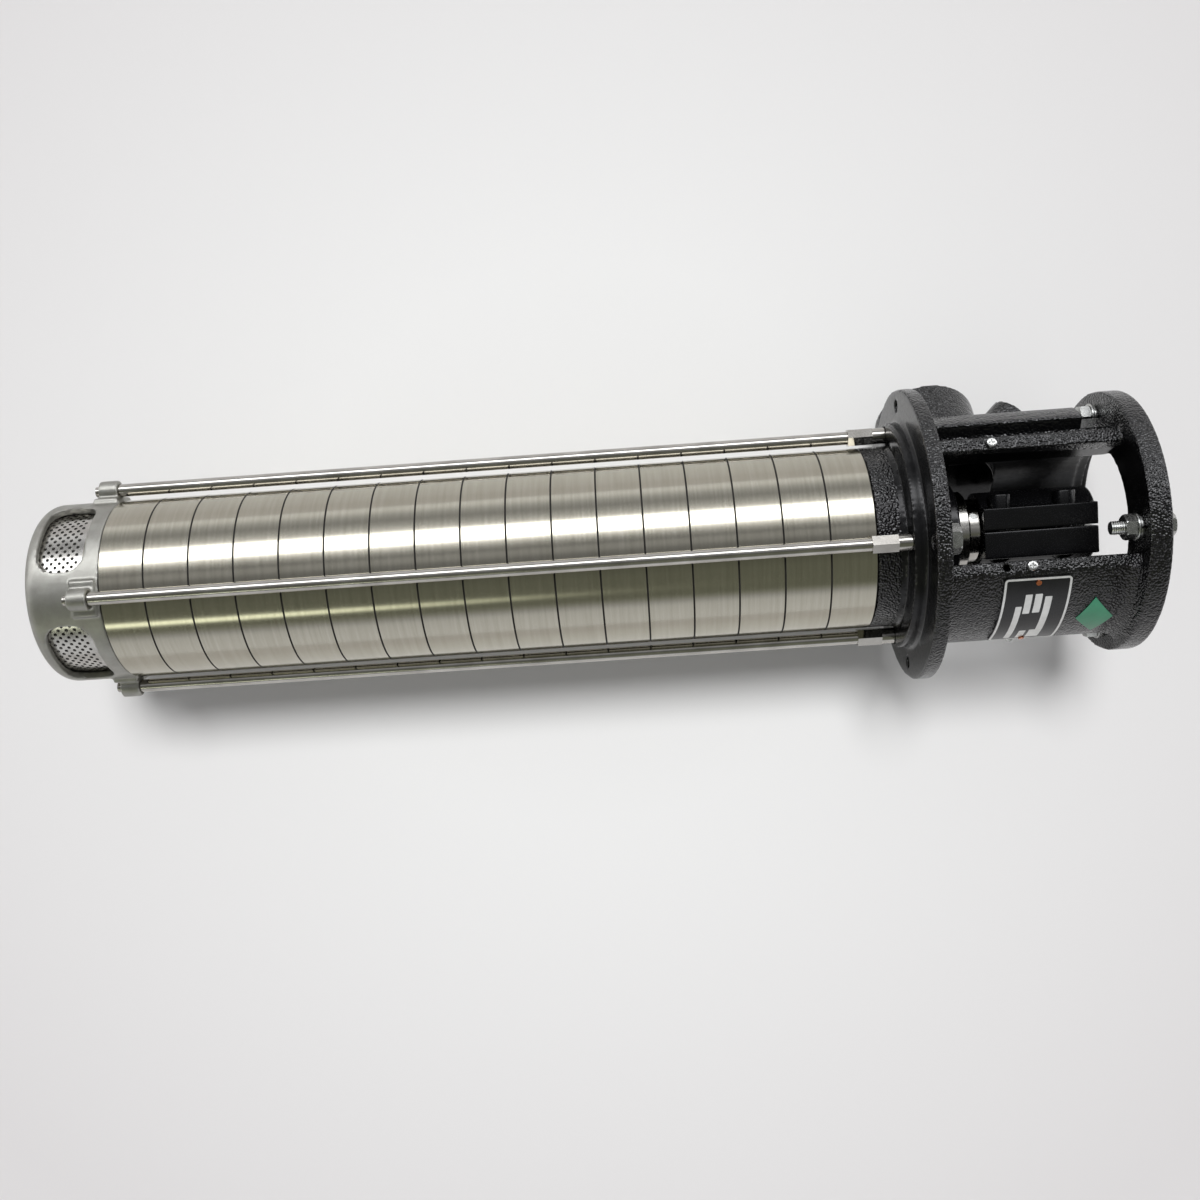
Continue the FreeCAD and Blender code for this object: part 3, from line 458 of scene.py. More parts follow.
@dataclass(frozen=True)
class Finish:
    """One surface: what it is made of and how it was made.

    The colours are the dark and the light end of its own slow variation. The grain is a bump
    with a real size in millimetres, drawn out round the shaft where the part was turned or
    belt polished.
    """

    name: str
    slot: str
    dark: str
    light: str
    metallic: float
    roughness: float
    roughness_spread: float
    mottle_mm: float = 12.0
    grain_mm: float = 1.0
    depth_mm: float = 0.02
    turned: bool = False
    coat: float = 0.0
    anisotropy: float = 0.0
    specular: float = 0.5

    def build(self) -> bpy.types.Material:
        """Make the node material.

        Returns:
            The finished material.
        """
        material = bpy.data.materials.new(self.name)
        tree = Tree(material)
        place = tree.add("TexCoord", out="Object")
        if self.turned:
            place = self.round_the_shaft(tree, place)
        slow = tree.add("TexNoise", {"Vector": place},
                        {"Scale": 1 / (self.mottle_mm * MM), "Detail": 3.0, "Roughness": 0.55})
        fine = tree.add("TexNoise", {"Vector": place},
                        {"Scale": 1 / (self.grain_mm * MM), "Detail": 2.0, "Roughness": 0.5})
        links = {
            "Base Color": tree.add("ValToRGB", {"Fac": slow},
                                   stops=((NOISE_LOW, self.dark), (NOISE_HIGH, self.light))),
            "Roughness": tree.add("MapRange", {"Value": fine},
                                  {"From Min": NOISE_LOW, "From Max": NOISE_HIGH,
                                   "To Min": self.roughness - self.roughness_spread,
                                   "To Max": self.roughness + self.roughness_spread}),
            "Normal": tree.add("Bump", {"Height": fine},
                               {"Strength": 1.0, "Distance": self.depth_mm * MM}),
        }
        if self.anisotropy:
            links["Tangent"] = tree.add("Tangent", direction_type="RADIAL", axis="Z")
        # A quarter turn lays the blur across the grain, not along it.
        shader = tree.add(
            "BsdfPrincipled", links,
            {"Metallic": self.metallic, "Coat Weight": self.coat, "Coat Roughness": 0.1,
             "Anisotropic": self.anisotropy, "Anisotropic Rotation": 0.25,
             "Specular IOR Level": self.specular})
        tree.add("OutputMaterial", {"Surface": shader})
        return material

    @staticmethod
    def round_the_shaft(tree: Tree, place: Socket) -> Socket:
        """Draw the grain out round the shaft, as a lathe or a polishing belt leaves it.

        Args:
            tree: The material's tree.
            place: Object coordinates.

        Returns:
            Coordinates in which a line round the shaft is short.
        """
        axes = tree.add("SeparateXYZ", {"Vector": place}).node.outputs
        angle = tree.add("Math", {0: axes["Y"], 1: axes["X"]}, operation="ARCTAN2")
        arc = tree.add("Math", {0: angle}, {1: BELT_STROKE_MM * MM},
                       operation="MULTIPLY")
        return tree.add("CombineXYZ", {"X": arc, "Z": axes["Z"]})


@dataclass(frozen=True)
class WrinklePaint:
    """Glossy black wrinkle enamel on iron: rounded bumps a millimetre or two apart."""

    name: str = "black wrinkle enamel"
    slot: str = "cast_black"
    colour: str = "040405"
    bump_mm: float = 1.35
    depth_mm: float = 0.72
    swell_mm: float = 7.0
    smoothness: float = 0.6
    roughness: float = 0.11

    def build(self) -> bpy.types.Material:
        """Make the node material.

        Returns:
            The finished material.
        """
        material = bpy.data.materials.new(self.name)
        tree = Tree(material)
        place = tree.add("TexCoord", out="Object")
        cells = tree.add("TexVoronoi", {"Vector": place},
                         {"Scale": 1 / (self.bump_mm * MM), "Randomness": 1.0,
                          "Smoothness": self.smoothness}, feature="SMOOTH_F1")
        swell = tree.add("TexNoise", {"Vector": place},
                         {"Scale": 1 / (self.swell_mm * MM), "Detail": 2.0})
        height = tree.add("Math", {0: cells, 1: swell}, operation="ADD")
        bump = tree.add("Bump", {"Height": height},
                        {"Strength": 1.0, "Distance": -self.depth_mm * MM})
        shader = tree.add("BsdfPrincipled", {"Normal": bump},
                          {"Base Color": linear(self.colour), "Roughness": self.roughness,
                           "Metallic": 0.0, "Specular IOR Level": 0.5})
        tree.add("OutputMaterial", {"Surface": shader})
        return material


class Surface(Enum):
    """The finishes of this pump. Grain finer than a pixel is drawn just coarse enough to show."""

    # Pressed stainless sheet, belt polished round the shell: fine rings and long streaks.
    CHAMBER = Finish("belt polished stainless", "chamber_steel", "a8a496", "b4b0a3", 1.0, 0.17,
                     0.04, mottle_mm=2.4, grain_mm=0.3, depth_mm=0.001, turned=True,
                     anisotropy=0.6)
    # Investment cast stainless, bead blasted: an even dull grey with a sandy grain.
    CAST = Finish("bead blasted cast stainless", "cast_stainless", "94938d", "a4a39d", 1.0, 0.46,
                  0.05, mottle_mm=8.0, grain_mm=0.7, depth_mm=0.04)
    # Drawn and ground stainless bar: bright with faint lengthwise lines.
    BAR = Finish("drawn bright stainless bar", "polished_steel", "a19e98", "c0bdb7", 1.0, 0.16,
                 0.04, mottle_mm=20.0, grain_mm=0.5, depth_mm=0.001)
    # Dark colour in the grooves between the chambers: partly polishing dirt settled there, partly
    # painted shade where the groove lies in shadow.
    SEAM = Finish("seam dirt and painted shade", "chamber_steel", "161512", "24221e", 0.0, 0.7, 0.05,
                  mottle_mm=2.0, grain_mm=0.5, depth_mm=0.01)
    # Turned stainless of the shaft seal's ring parts.
    SEAL = Finish("turned seal steel", "chamber_steel", "a8a6a1", "c4c2bd", 1.0, 0.2, 0.05,
                  mottle_mm=8.0, grain_mm=0.4, depth_mm=0.002)
    # Zinc plated carbon steel: silvery with a faint cloudiness.
    ZINC = Finish("zinc plated steel", "zinc_steel", "9fa09e", "c4c5c2", 1.0, 0.28, 0.06,
                  mottle_mm=4.0, grain_mm=0.6, depth_mm=0.003)
    # Oil blackened steel of the coupling: near black with a satin sheen.
    BLACK_STEEL = Finish("blackened steel", "black_steel", "070708", "0c0c0d", 0.0, 0.25, 0.05,
                         mottle_mm=10.0, grain_mm=0.8, depth_mm=0.004, specular=0.3)
    # The same enamel over the machined faces: smooth, so it mirrors in broad patches.
    SMOOTH_PAINT = Finish("smooth black enamel", "cast_black", "070708", "0b0b0c", 0.0, 0.22,
                          0.05, mottle_mm=14.0, grain_mm=2.6, depth_mm=0.03, specular=0.3)
    # Sand cast bronze, dulled by handling: brown with a weak sheen.
    BRONZE = Finish("cast bronze", "bronze", "5a4330", "7d5f43", 1.0, 0.4, 0.06, mottle_mm=3.0,
                    grain_mm=0.6, depth_mm=0.01)
    # Upset copper: small warm spots that still shine.
    COPPER = Finish("copper rivet", "copper", "b06642", "cf8259", 1.0, 0.32, 0.05,
                    mottle_mm=1.5, grain_mm=0.4, depth_mm=0.004)
    # Pressed and lapped carbon: dark grey and nearly matte.
    CARBON = Finish("pressed carbon", "carbon", "1a1a1b", "262627", 0.0, 0.45, 0.05,
                    mottle_mm=3.0, grain_mm=0.3, depth_mm=0.004)
    # Black anodised sheet: an even satin black, flatter than the enamel round it.
    PLATE = Finish("black anodised aluminium", "nameplate", "0d0d0e", "151516", 0.2, 0.3, 0.04,
                   mottle_mm=6.0, grain_mm=0.3, depth_mm=0.002)
    # The plate's border and fields, where the black was etched away to bare metal.
    BARE = Finish("etched bare aluminium", "nameplate", "d2d2cf", "e2e2df", 0.55, 0.38, 0.04,
                  mottle_mm=5.0, grain_mm=0.3, depth_mm=0.002)
    # Vinyl film with a thin clear coat: flat green under a weak gloss.
    FILM = Finish("green vinyl film", "green_film", "1b7a54", "238a61", 0.0, 0.38, 0.04,
                  mottle_mm=15.0, grain_mm=0.8, depth_mm=0.003, coat=0.3)
    # Stoved wrinkle enamel on cast iron: a sparkle on every bump and deep black between.
    PAINT = WrinklePaint()

    @cache
    def material(self) -> bpy.types.Material:
        """Make the material the first time that it is wanted.

        Returns:
            The finish's one material.
        """
        return self.value.build()


def dress(obj: Piece, surface: Surface) -> None:
    """Put one finish all over a piece.

    Args:
        obj: The piece.
        surface: Its finish.
    """
    if not obj.material_slots:
        obj.data.materials.append(surface.material())
    for slot in obj.material_slots:
        slot.material = surface.material()


# Sub-assemblies


class Assembly:
    """What every sub-assembly shares."""

    @staticmethod
    def place(obj: Piece, surface: Surface, body: str = "pump") -> None:
        """Dress a new piece and let it ride on its body.

        Args:
            obj: The piece.
            surface: Its finish.
            body: The body that carries it.
        """
        dress(obj, surface)
        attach(obj, body)
        LOG.info("%s: %d faces, rides on %s", obj.name, len(obj.data.polygons), body)


@dataclass
class StageStack(Assembly):
    """The pressed stage chambers between the strainer and the head."""

    count: int = 17
    pitch: float = 27 * MM
    foot: float = -485 * MM
    radius: float = 56 * MM
    wall: float = 2 * MM
    hub_hole: float = 11.5 * MM
    edge: float = 0.55 * MM
    sides: int = 128
    spin: float = 37.0
    bevel_slope: tuple[float, float] = (0.3, 0.9)

    def build(self) -> None:
        """Model one chamber, copy it up the stack and stand it in for the solid ones."""
        first = self.chamber()
        chambers = [first]
        for index in range(1, self.count):
            spot = (Matrix.Translation((0, 0, index * self.pitch))
                    @ Matrix.Rotation(radians(self.spin * index), 4, "Z"))
            chambers.append(copy_of(first, f"chamber_{index + 1:02d}", spot))
        for chamber in chambers:
            self.place(chamber, Surface.CHAMBER)
            self.darken_seam_dirt_and_shade(chamber)
            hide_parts("stage_chambers")

    def darken_seam_dirt_and_shade(self, chamber: Piece) -> None:
        """Darken the two bevelled edges that make a groove with the next chamber's: partly dirt,
        partly painted shade in the groove.

        Args:
            chamber: One chamber.
        """
        # The dark seam colour is partly settled dirt and partly painted shade in the groove.
        chamber.data.materials.append(Surface.SEAM.material())
        inside = self.radius - 2 * self.edge
        steep, flat = self.bevel_slope
        for face in chamber.data.polygons:
            middle = face.center
            if hypot(middle.x, middle.y) > inside and steep < abs(face.normal.z) < flat:
                face.material_index = 1

    def chamber(self) -> Piece:
        """Model one chamber as a cup that opens downwards.

        Returns:
            The lowest chamber.
        """
        modeller = Modeller("chamber_01")
        top = self.foot + self.pitch
        obj = modeller.tube(self.radius, self.foot, top, self.sides)
        modeller.pick(Select.FACE, level(self.foot))
        bpy.ops.mesh.inset(thickness=self.wall)
        bpy.ops.mesh.extrude_region_move(
            TRANSFORM_OT_translate={"value": (0, 0, self.pitch - self.wall)})
        bpy.ops.mesh.inset(thickness=self.radius - self.wall - self.hub_hole)
        modeller.pick(Select.FACE, level(top))
        bpy.ops.mesh.inset(thickness=self.radius - self.hub_hole)
        web = level(top, top - self.wall)
        modeller.pick(Select.FACE, lambda p: hypot(p[0], p[1]) < NEAR and web(p))
        bpy.ops.mesh.bridge_edge_loops()
        rim = self.radius * cos(pi / self.sides)
        ends = level(top, self.foot)
        modeller.pick(Select.EDGE,
                      lambda p: abs(hypot(p[0], p[1]) - rim) < NEAR and ends(p))
        bpy.ops.mesh.bevel(offset=self.edge, segments=1, affect="EDGES")
        modeller.finish(obj, 30.0)
        return modeller.apply(obj, "WEIGHTED_NORMAL", keep_sharp=True, weight=90)


@dataclass
class Screen(Assembly):
    """The perforated sleeve behind the strainer's windows."""

    radius: float = 50.5 * MM
    rows: int = 12
    columns: int = 124
    thickness: float = 0.8 * MM
    web: float = 0.12 * MM
    nudge: float = 0.001

    def build(self) -> None:
        """Model the sleeve with its staggered holes and stand it in for the plain one."""
        modeller = Modeller("screen_sleeve")
        low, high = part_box("strainer_screen")
        obj = modeller.tube(self.radius, low.z, high.z, self.columns, "NOTHING")
        modeller.pick(Select.EDGE, level((low.z + high.z) / 2))
        bpy.ops.mesh.subdivide(number_cuts=self.rows - 1)
        step = (high.z - low.z) / self.rows
        turn = 2 * pi / self.columns

        def staggered(p: Point) -> bool:
            """Say whether a face's middle is on the staggered pattern."""
            row = int((p[2] - low.z) / step)
            column = floor(atan2(p[1], p[0]) / turn + self.nudge)
            return 0 < row < self.rows - 1 and (row + column) % 2 == 0

        modeller.pick(Select.FACE, staggered)
        bpy.ops.mesh.inset(thickness=self.web, use_individual=True)
        bpy.ops.mesh.delete(type="FACE")
        modeller.apply(obj, "SUBSURF", levels=1, render_levels=1)
        modeller.apply(obj, "SOLIDIFY", thickness=self.thickness, offset=0.0)
        modeller.finish(obj)
        self.place(obj, Surface.SEAL)
        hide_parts("strainer_screen")


@dataclass
class Castings(Assembly):
    """The cast and milled pieces: copies of their solids with all edges rounded."""

    head_grid: float = 1.1 * MM
    cup_grid: float = 0.9 * MM
    coupling_grid: float = 0.55 * MM
    keep: float = 0.35
    face_depth: float = 0.4 * MM
    cup_top: float = -14 * MM
    floor: float = 9 * MM
    bore_radius: float = 57 * MM
    ridge_angles: tuple[float, float] = (199.4, 70.6)
    relief_face: float = 64.5 * MM
    relief_depth: float = 14 * MM
    relief_width: float = 24 * MM
    relief_heights: tuple[float, float] = (102 * MM, 120.6 * MM)

    def build(self, nodes: dict[str, Piece]) -> None:
        """Round the head, the strainer's cup and the two coupling halves.

        Args:
            nodes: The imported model's nodes by name.
        """
        for name, node, grid, surface, body in (
            ("head_casting", "pump_head", self.head_grid, Surface.PAINT, "pump"),
            ("strainer_cup", "suction_strainer", self.cup_grid, Surface.CAST, "pump"),
            ("coupling_front_half", "coupling_half_a", self.coupling_grid,
             Surface.BLACK_STEEL, "rotor"),
            ("coupling_back_half", "coupling_half_b", self.coupling_grid,
             Surface.BLACK_STEEL, "rotor"),
        ):
            obj = Modeller(name).softened(nodes[node], grid, self.keep)
            self.place(obj, surface, body)
            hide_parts(node)
            if surface is Surface.PAINT:
                self.relieve(obj)
                self.machine(obj)

    def relieve(self, head: Piece) -> None:
        """Cut the two ridges back beside the motor bolts, as the photograph shows.

        Args:
            head: The rounded head casting.
        """
        low, high = self.relief_heights
        for angle in self.ridge_angles:
            block = Fasteners.slab(
                (self.relief_depth, self.relief_width, high - low),
                (self.relief_face + self.relief_depth / 2, 0, (low + high) / 2))
            block.data.transform(Matrix.Rotation(radians(angle), 4, "Z"))
            Modeller("head_casting").combine(head, block, "DIFFERENCE")

    def machine(self, head: Piece) -> None:
        """Give the head's machined faces the smooth finish.

        Args:
            head: The rounded head casting.
        """
        head.data.materials.append(Surface.SMOOTH_PAINT.material())
        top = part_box("pump_head")[1].z - self.face_depth
        for face in head.data.polygons:
            middle = face.center
            bored = middle.z > self.floor and hypot(middle.x, middle.y) < self.bore_radius
            spigot = self.cup_top < middle.z < self.face_depth
            if spigot or middle.z > top or bored:
                face.material_index = 1


@dataclass
class Fasteners(Assembly):
    """The nuts, bolts, washers and screws, with their chamfers, threads and sockets.

    A guard screw's spot is its window's angle, the side of the window and its height.
    """

    corners: int = 4
    nut_sides: int = 48
    washer_sides: int = 64
    bore_sides: int = 32
    screw_sides: int = 40
    flat_angle: float = 25.0
    thread_angle: float = 20.0
    head_angle: float = 30.0
    overlap: float = 0.5 * MM
    rod_circle: float = 62.5 * MM
    rod_flat: float = 16 * MM
    rod_bore: float = 4.95 * MM
    rod_washer_radius: float = 10 * MM
    rod_cover: float = 0.1 * MM
    rod_thread: float = 3.3 * MM
    rod_thread_length: float = 3 * MM
    rod_thread_depth: float = 0.35 * MM
    rod_pitch: float = 1 * MM
    motor_circle: float = 65 * MM
    motor_flat: float = 13 * MM
    motor_bore: float = 4.05 * MM
    motor_shank: float = 4 * MM
    motor_pitch: float = 1.25 * MM
    thread_depth: float = 0.45 * MM
    washer_radius: float = 8 * MM
    spring_radius: float = 7 * MM
    slit: float = 1.2 * MM
    slit_lean: float = 20.0
    guard_head: float = 3 * MM
    guard_height: float = 2.4 * MM
    guard_chamfer: float = 0.9 * MM
    cross: Point = (3.4 * MM, 0.8 * MM, 2.4 * MM)
    guard_pad: float = 57 * MM
    guard_offset: float = 37.5 * MM
    guard_spots: tuple[Point, ...] = (
        (-107.6, -1, 45 * MM), (-107.6, 1, 59 * MM), (17.6, 1, 45 * MM), (17.6, -1, 59 * MM))
    clamp_head: float = 6.5 * MM
    clamp_height: float = 8 * MM
    clamp_chamfer: float = 0.8 * MM
    clamp_shank: float = 4 * MM
    clamp_length: float = 26 * MM
    clamp_face: float = -14 * MM
    clamp_offset: float = 17.5 * MM
    clamp_heights: tuple[float, float] = (56 * MM, 95 * MM)
    key_size: float = 6 * MM

    def build(self) -> None:
        """Make every fastener."""
        self.motor_set()
        self.rod_set()
        self.guard_screws()
        self.clamp_screws()

    def nut(self, name: str, flat: float, foot: float, top: float, bore: float,
            ends: str = "both") -> Piece:
        """Model a hexagon with chamfered corners, bored if it is a nut.

        Args:
            name: The piece's name.
            flat: Its size across flats.
            foot: Its lower face.
            top: Its upper face.
            bore: Its bore's radius, or 0.
            ends: Which ends are chamfered.

        Returns:
            The hexagon, about the shaft axis.
        """
        modeller = Modeller(name)
        corner = flat / 2 / cos(pi / 6)
        # The chamfer starts just inside the flats, so that it leaves arcs on them.
        obj = modeller.prism(corner, foot, top, self.nut_sides, corner - 0.96 * flat / 2, ends)
        sides = Modeller(name + "_sides").tube(corner, foot - MM, top + MM, 6)
        modeller.combine(obj, sides, "INTERSECT")
        if bore:
            hole = Modeller(name + "_bore").tube(bore, foot - MM, top + MM, self.bore_sides)
            modeller.combine(obj, hole, "DIFFERENCE")
        return modeller.finish(obj, self.flat_angle)

    def washer(self, name: str, radius: float, bore: float, foot: float, top: float,
               slit: float = 0.0) -> Piece:
        """Model a washer with broken edges, split if it is a spring washer.

        Args:
            name: The piece's name.
            radius: Its outer radius.
            bore: Its bore's radius.
            foot: Its lower face.
            top: Its upper face.
            slit: The width of its slit, or 0.

        Returns:
            The washer, about the shaft axis.
        """
        modeller = Modeller(name)
        obj = modeller.prism(radius, foot, top, self.washer_sides, 0.2 * (top - foot))
        hole = Modeller(name + "_bore").tube(bore, foot - MM, top + MM, self.bore_sides)
        modeller.combine(obj, hole, "DIFFERENCE")
        if slit:
            block = self.slab((radius, slit, 2 * (top - foot)), (radius, 0, (foot + top) / 2),
                              self.slit_lean)
            modeller.combine(obj, block, "DIFFERENCE")
        return modeller.finish(obj, self.flat_angle)

    @staticmethod
    def slab(size: Point, middle: Point, lean: float = 0.0) -> Piece:
        """Add a plain block to cut with.

        Args:
            size: Its three sides.
            middle: Its middle.
            lean: How far it leans about X.

        Returns:
            The block.
        """
        Modeller.clear()
        bpy.ops.mesh.primitive_cube_add(size=1.0, location=middle,
                                        rotation=(radians(lean), 0, 0))
        block = bpy.context.object
        block.scale = size
        bpy.ops.object.transform_apply()
        return block

    def round_about(self, circle: float) -> list[Matrix]:
        """Find the corners' places on a circle.

        Args:
            circle: Its radius.

        Returns:
            The places, from the shaft axis.
        """
        return [Matrix.Rotation(tau * index / self.corners, 4, "Z")
                @ Matrix.Translation((circle, 0, 0)) for index in range(self.corners)]

    def spread(self, pattern: Piece, spots: Sequence[Matrix], surface: Surface,
               node: str = "", body: str = "pump") -> None:
        """Copy a fastener to all its places and delete the pattern.

        Args:
            pattern: The fastener about the shaft axis.
            spots: The places.
            surface: Its finish.
            node: The solid that the copies stand for.
            body: The body that carries them.
        """
        for index, spot in enumerate(spots):
            copy = copy_of(pattern, f"{pattern.name}_{index + 1}", spot)
            self.place(copy, surface, body)
            if node:
                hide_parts(node)
        bpy.data.objects.remove(pattern)

    def motor_set(self) -> None:
        """Make the motor flange's bolts, nuts and washers."""
        spots = self.round_about(self.motor_circle)
        low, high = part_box("motor_bolts")
        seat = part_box("pump_head")[1].z
        head = self.nut("motor_bolt", self.motor_flat, seat, high.z, 0, "top")
        modeller = Modeller("motor_bolt_shank")
        shank = modeller.threaded(self.motor_shank, low.z, seat + self.overlap,
                                  self.motor_pitch, self.thread_depth)
        modeller.finish(shank, self.thread_angle)
        self.spread(joined("motor_bolt", [head, shank]), spots, Surface.ZINC, "motor_bolts")
        low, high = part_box("motor_nuts")
        nut = self.nut("motor_nut", self.motor_flat, low.z, high.z, self.motor_bore)
        self.spread(nut, spots, Surface.ZINC, "motor_nuts")
        for name, node, radius, slit in (
            ("motor_washer", "motor_washers", self.washer_radius, 0.0),
            ("motor_spring_washer", "motor_spring_washers", self.spring_radius, self.slit),
        ):
            low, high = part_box(node)
            washer = self.washer(name, radius, self.motor_bore, low.z, high.z, slit)
            self.spread(washer, spots, Surface.ZINC, node)

    def rod_set(self) -> None:
        """Make the tie rods' nuts, washers and threaded lower ends."""
        spots = self.round_about(self.rod_circle)
        low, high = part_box("tie_rod_nuts")
        nut = self.nut("tie_rod_nut", self.rod_flat, low.z, high.z, self.rod_bore)
        self.spread(nut, spots, Surface.ZINC, "tie_rod_nuts")
        low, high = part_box("tie_rod_washers")
        washer = self.washer("tie_rod_washer", self.rod_washer_radius, self.rod_bore,
                             low.z, high.z)
        self.spread(washer, spots, Surface.ZINC, "tie_rod_washers")
        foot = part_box("tie_rod_1")[0].z - self.rod_cover
        modeller = Modeller("tie_rod_thread")
        thread = modeller.threaded(self.rod_thread, foot, foot + self.rod_thread_length,
                                   self.rod_pitch, self.rod_thread_depth)
        self.spread(modeller.finish(thread, self.thread_angle), spots, Surface.BAR)

    def guard_screws(self) -> None:
        """Make the four cross-head screws in the guard pads."""
        modeller = Modeller("guard_screw")
        screw = modeller.prism(self.guard_head, -MM, self.guard_height, self.screw_sides,
                               self.guard_chamfer, "top")
        long, wide, deep = self.cross
        for size in ((long, wide, deep), (wide, long, deep)):
            modeller.combine(screw, self.slab(size, (0, 0, self.guard_height)), "DIFFERENCE")
        modeller.finish(screw, self.head_angle)
        lay = Matrix.Rotation(radians(90), 4, "Y")
        self.spread(screw, [
            Matrix.Rotation(radians(window), 4, "Z")
            @ Matrix.Translation((self.guard_pad, row * self.guard_offset, height)) @ lay
            for window, row, height in self.guard_spots
        ], Surface.ZINC, "guard_screws")

    def clamp_screws(self) -> None:
        """Make the coupling's four socket head screws."""
        modeller = Modeller("clamp_screw")
        head = modeller.prism(self.clamp_head, 0, self.clamp_height, self.nut_sides,
                              self.clamp_chamfer, "top")
        key = Modeller("key").tube(self.key_size / 2 / cos(pi / 6),
                                   self.clamp_height / 2, self.clamp_height + MM, 6)
        modeller.combine(head, key, "DIFFERENCE")
        modeller.finish(head, self.head_angle)
        shaft = Modeller("clamp_shank")
        shank = shaft.finish(shaft.tube(self.clamp_shank, -self.clamp_length, self.overlap,
                                        self.bore_sides))
        lay = Matrix.Rotation(radians(-90), 4, "Y")
        self.spread(joined("clamp_screw", [head, shank]), [
            Matrix.Translation((self.clamp_face, row * self.clamp_offset, height)) @ lay
            for row in (-1, 1) for height in self.clamp_heights
        ], Surface.BLACK_STEEL, "coupling_screws", "rotor")


@dataclass
class RatingPlate(Assembly):
    """The bare nameplate: a black sheet with a silver border and empty silver fields.

    A field is its middle along the plate, its middle across it, its length and its width,
    counted from the plate's corner nearest the front window and the tank flange.
    """

    radius: float = 70.1 * MM
    thickness: float = 0.5 * MM
    start: float = 20.5
    sweep: float = 49.0
    inset: float = 0.5 * MM
    border: float = 1.3 * MM
    etch: float = 0.05 * MM
    fields: tuple[tuple[float, float, float, float], ...] = (
        (38.2 * MM, 10.5 * MM, 36 * MM, 3.6 * MM),
        (19.1 * MM, 15.4 * MM, 15 * MM, 4.0 * MM),
        (18.8 * MM, 21.1 * MM, 14.6 * MM, 4.2 * MM),
        (34.5 * MM, 26.9 * MM, 42 * MM, 4.0 * MM),
        (50.6 * MM, 17.7 * MM, 11.4 * MM, 4.0 * MM),
        (49.9 * MM, 23.5 * MM, 11.4 * MM, 4.0 * MM),
    )

    def build(self) -> None:
        """Make the plate and what is etched on it."""
        low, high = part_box("nameplate")
        height = high.z - low.z
        width = radians(self.sweep) * self.radius
        face = self.radius + self.thickness
        plate = Modeller("nameplate_sheet").wrapped(
            width, height, 2.4 * MM, self.radius, self.thickness)
        self.settle(plate, width / 2, low.z + height / 2)
        self.place(plate, Surface.PLATE)
        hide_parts("nameplate")
        rim = Modeller("nameplate_border").wrapped(
            width - 2 * self.inset, height - 2 * self.inset, 2.2 * MM, face, self.etch,
            self.border)
        self.settle(rim, width / 2, low.z + height / 2)
        etched = [rim]
        for index, (along, across, length, breadth) in enumerate(self.fields):
            bare = Modeller(f"nameplate_field_{index + 1}").wrapped(
                length, breadth, 0.4 * MM, face, self.etch)
            self.settle(bare, along, low.z + across)
            etched.append(bare)
        self.place(joined("nameplate_etching", etched), Surface.BARE)

    def settle(self, obj: Piece, along: float, height: float) -> None:
        """Turn a sheet round the shaft to its place on the plate.

        Args:
            obj: The sheet, its middle at the front and at height 0.
            along: Its middle's distance along the plate.
            height: Its middle's height.
        """
        angle = radians(self.start) + along / self.radius
        obj.data.transform(Matrix.Translation((0, 0, height)) @ Matrix.Rotation(angle, 4, "Z"))
        Modeller(obj.name).finish(obj)


@dataclass
class CarriedOver(Assembly):
    """The solids whose own shape is right, each with its finish."""

    finishes: dict[Surface, tuple[str, ...]] = field(default_factory=lambda: {
        Surface.BAR: ("tie_rod_1", "tie_rod_2", "tie_rod_3", "tie_rod_4", "pump_shaft",
                      "impeller_stop_ring", "seal_drive_collar"),
        Surface.CHAMBER: ("inlet_plate", "impellers"),
        Surface.SEAL: ("seal_gland", "seal_spring_housing"),
        Surface.CARBON: ("inlet_bearing_bush", "seal_stationary_ring", "seal_rotating_ring"),
        Surface.ZINC: ("impeller_lock_nut", "collar_set_screws", "coupling_pin"),
        Surface.BRONZE: ("air_vent_plug",),
        Surface.COPPER: ("nameplate_rivets",),
        Surface.FILM: ("inspection_label",),
    })

    def build(self, nodes: dict[str, Piece]) -> None:
        """Dress every solid that stays.

        Args:
            nodes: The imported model's nodes by name.
        """
        for surface, names in self.finishes.items():
            for name in names:
                dress(nodes[name], surface)
            LOG.info("%s: %s", surface.value.name, ", ".join(names))


# Studio


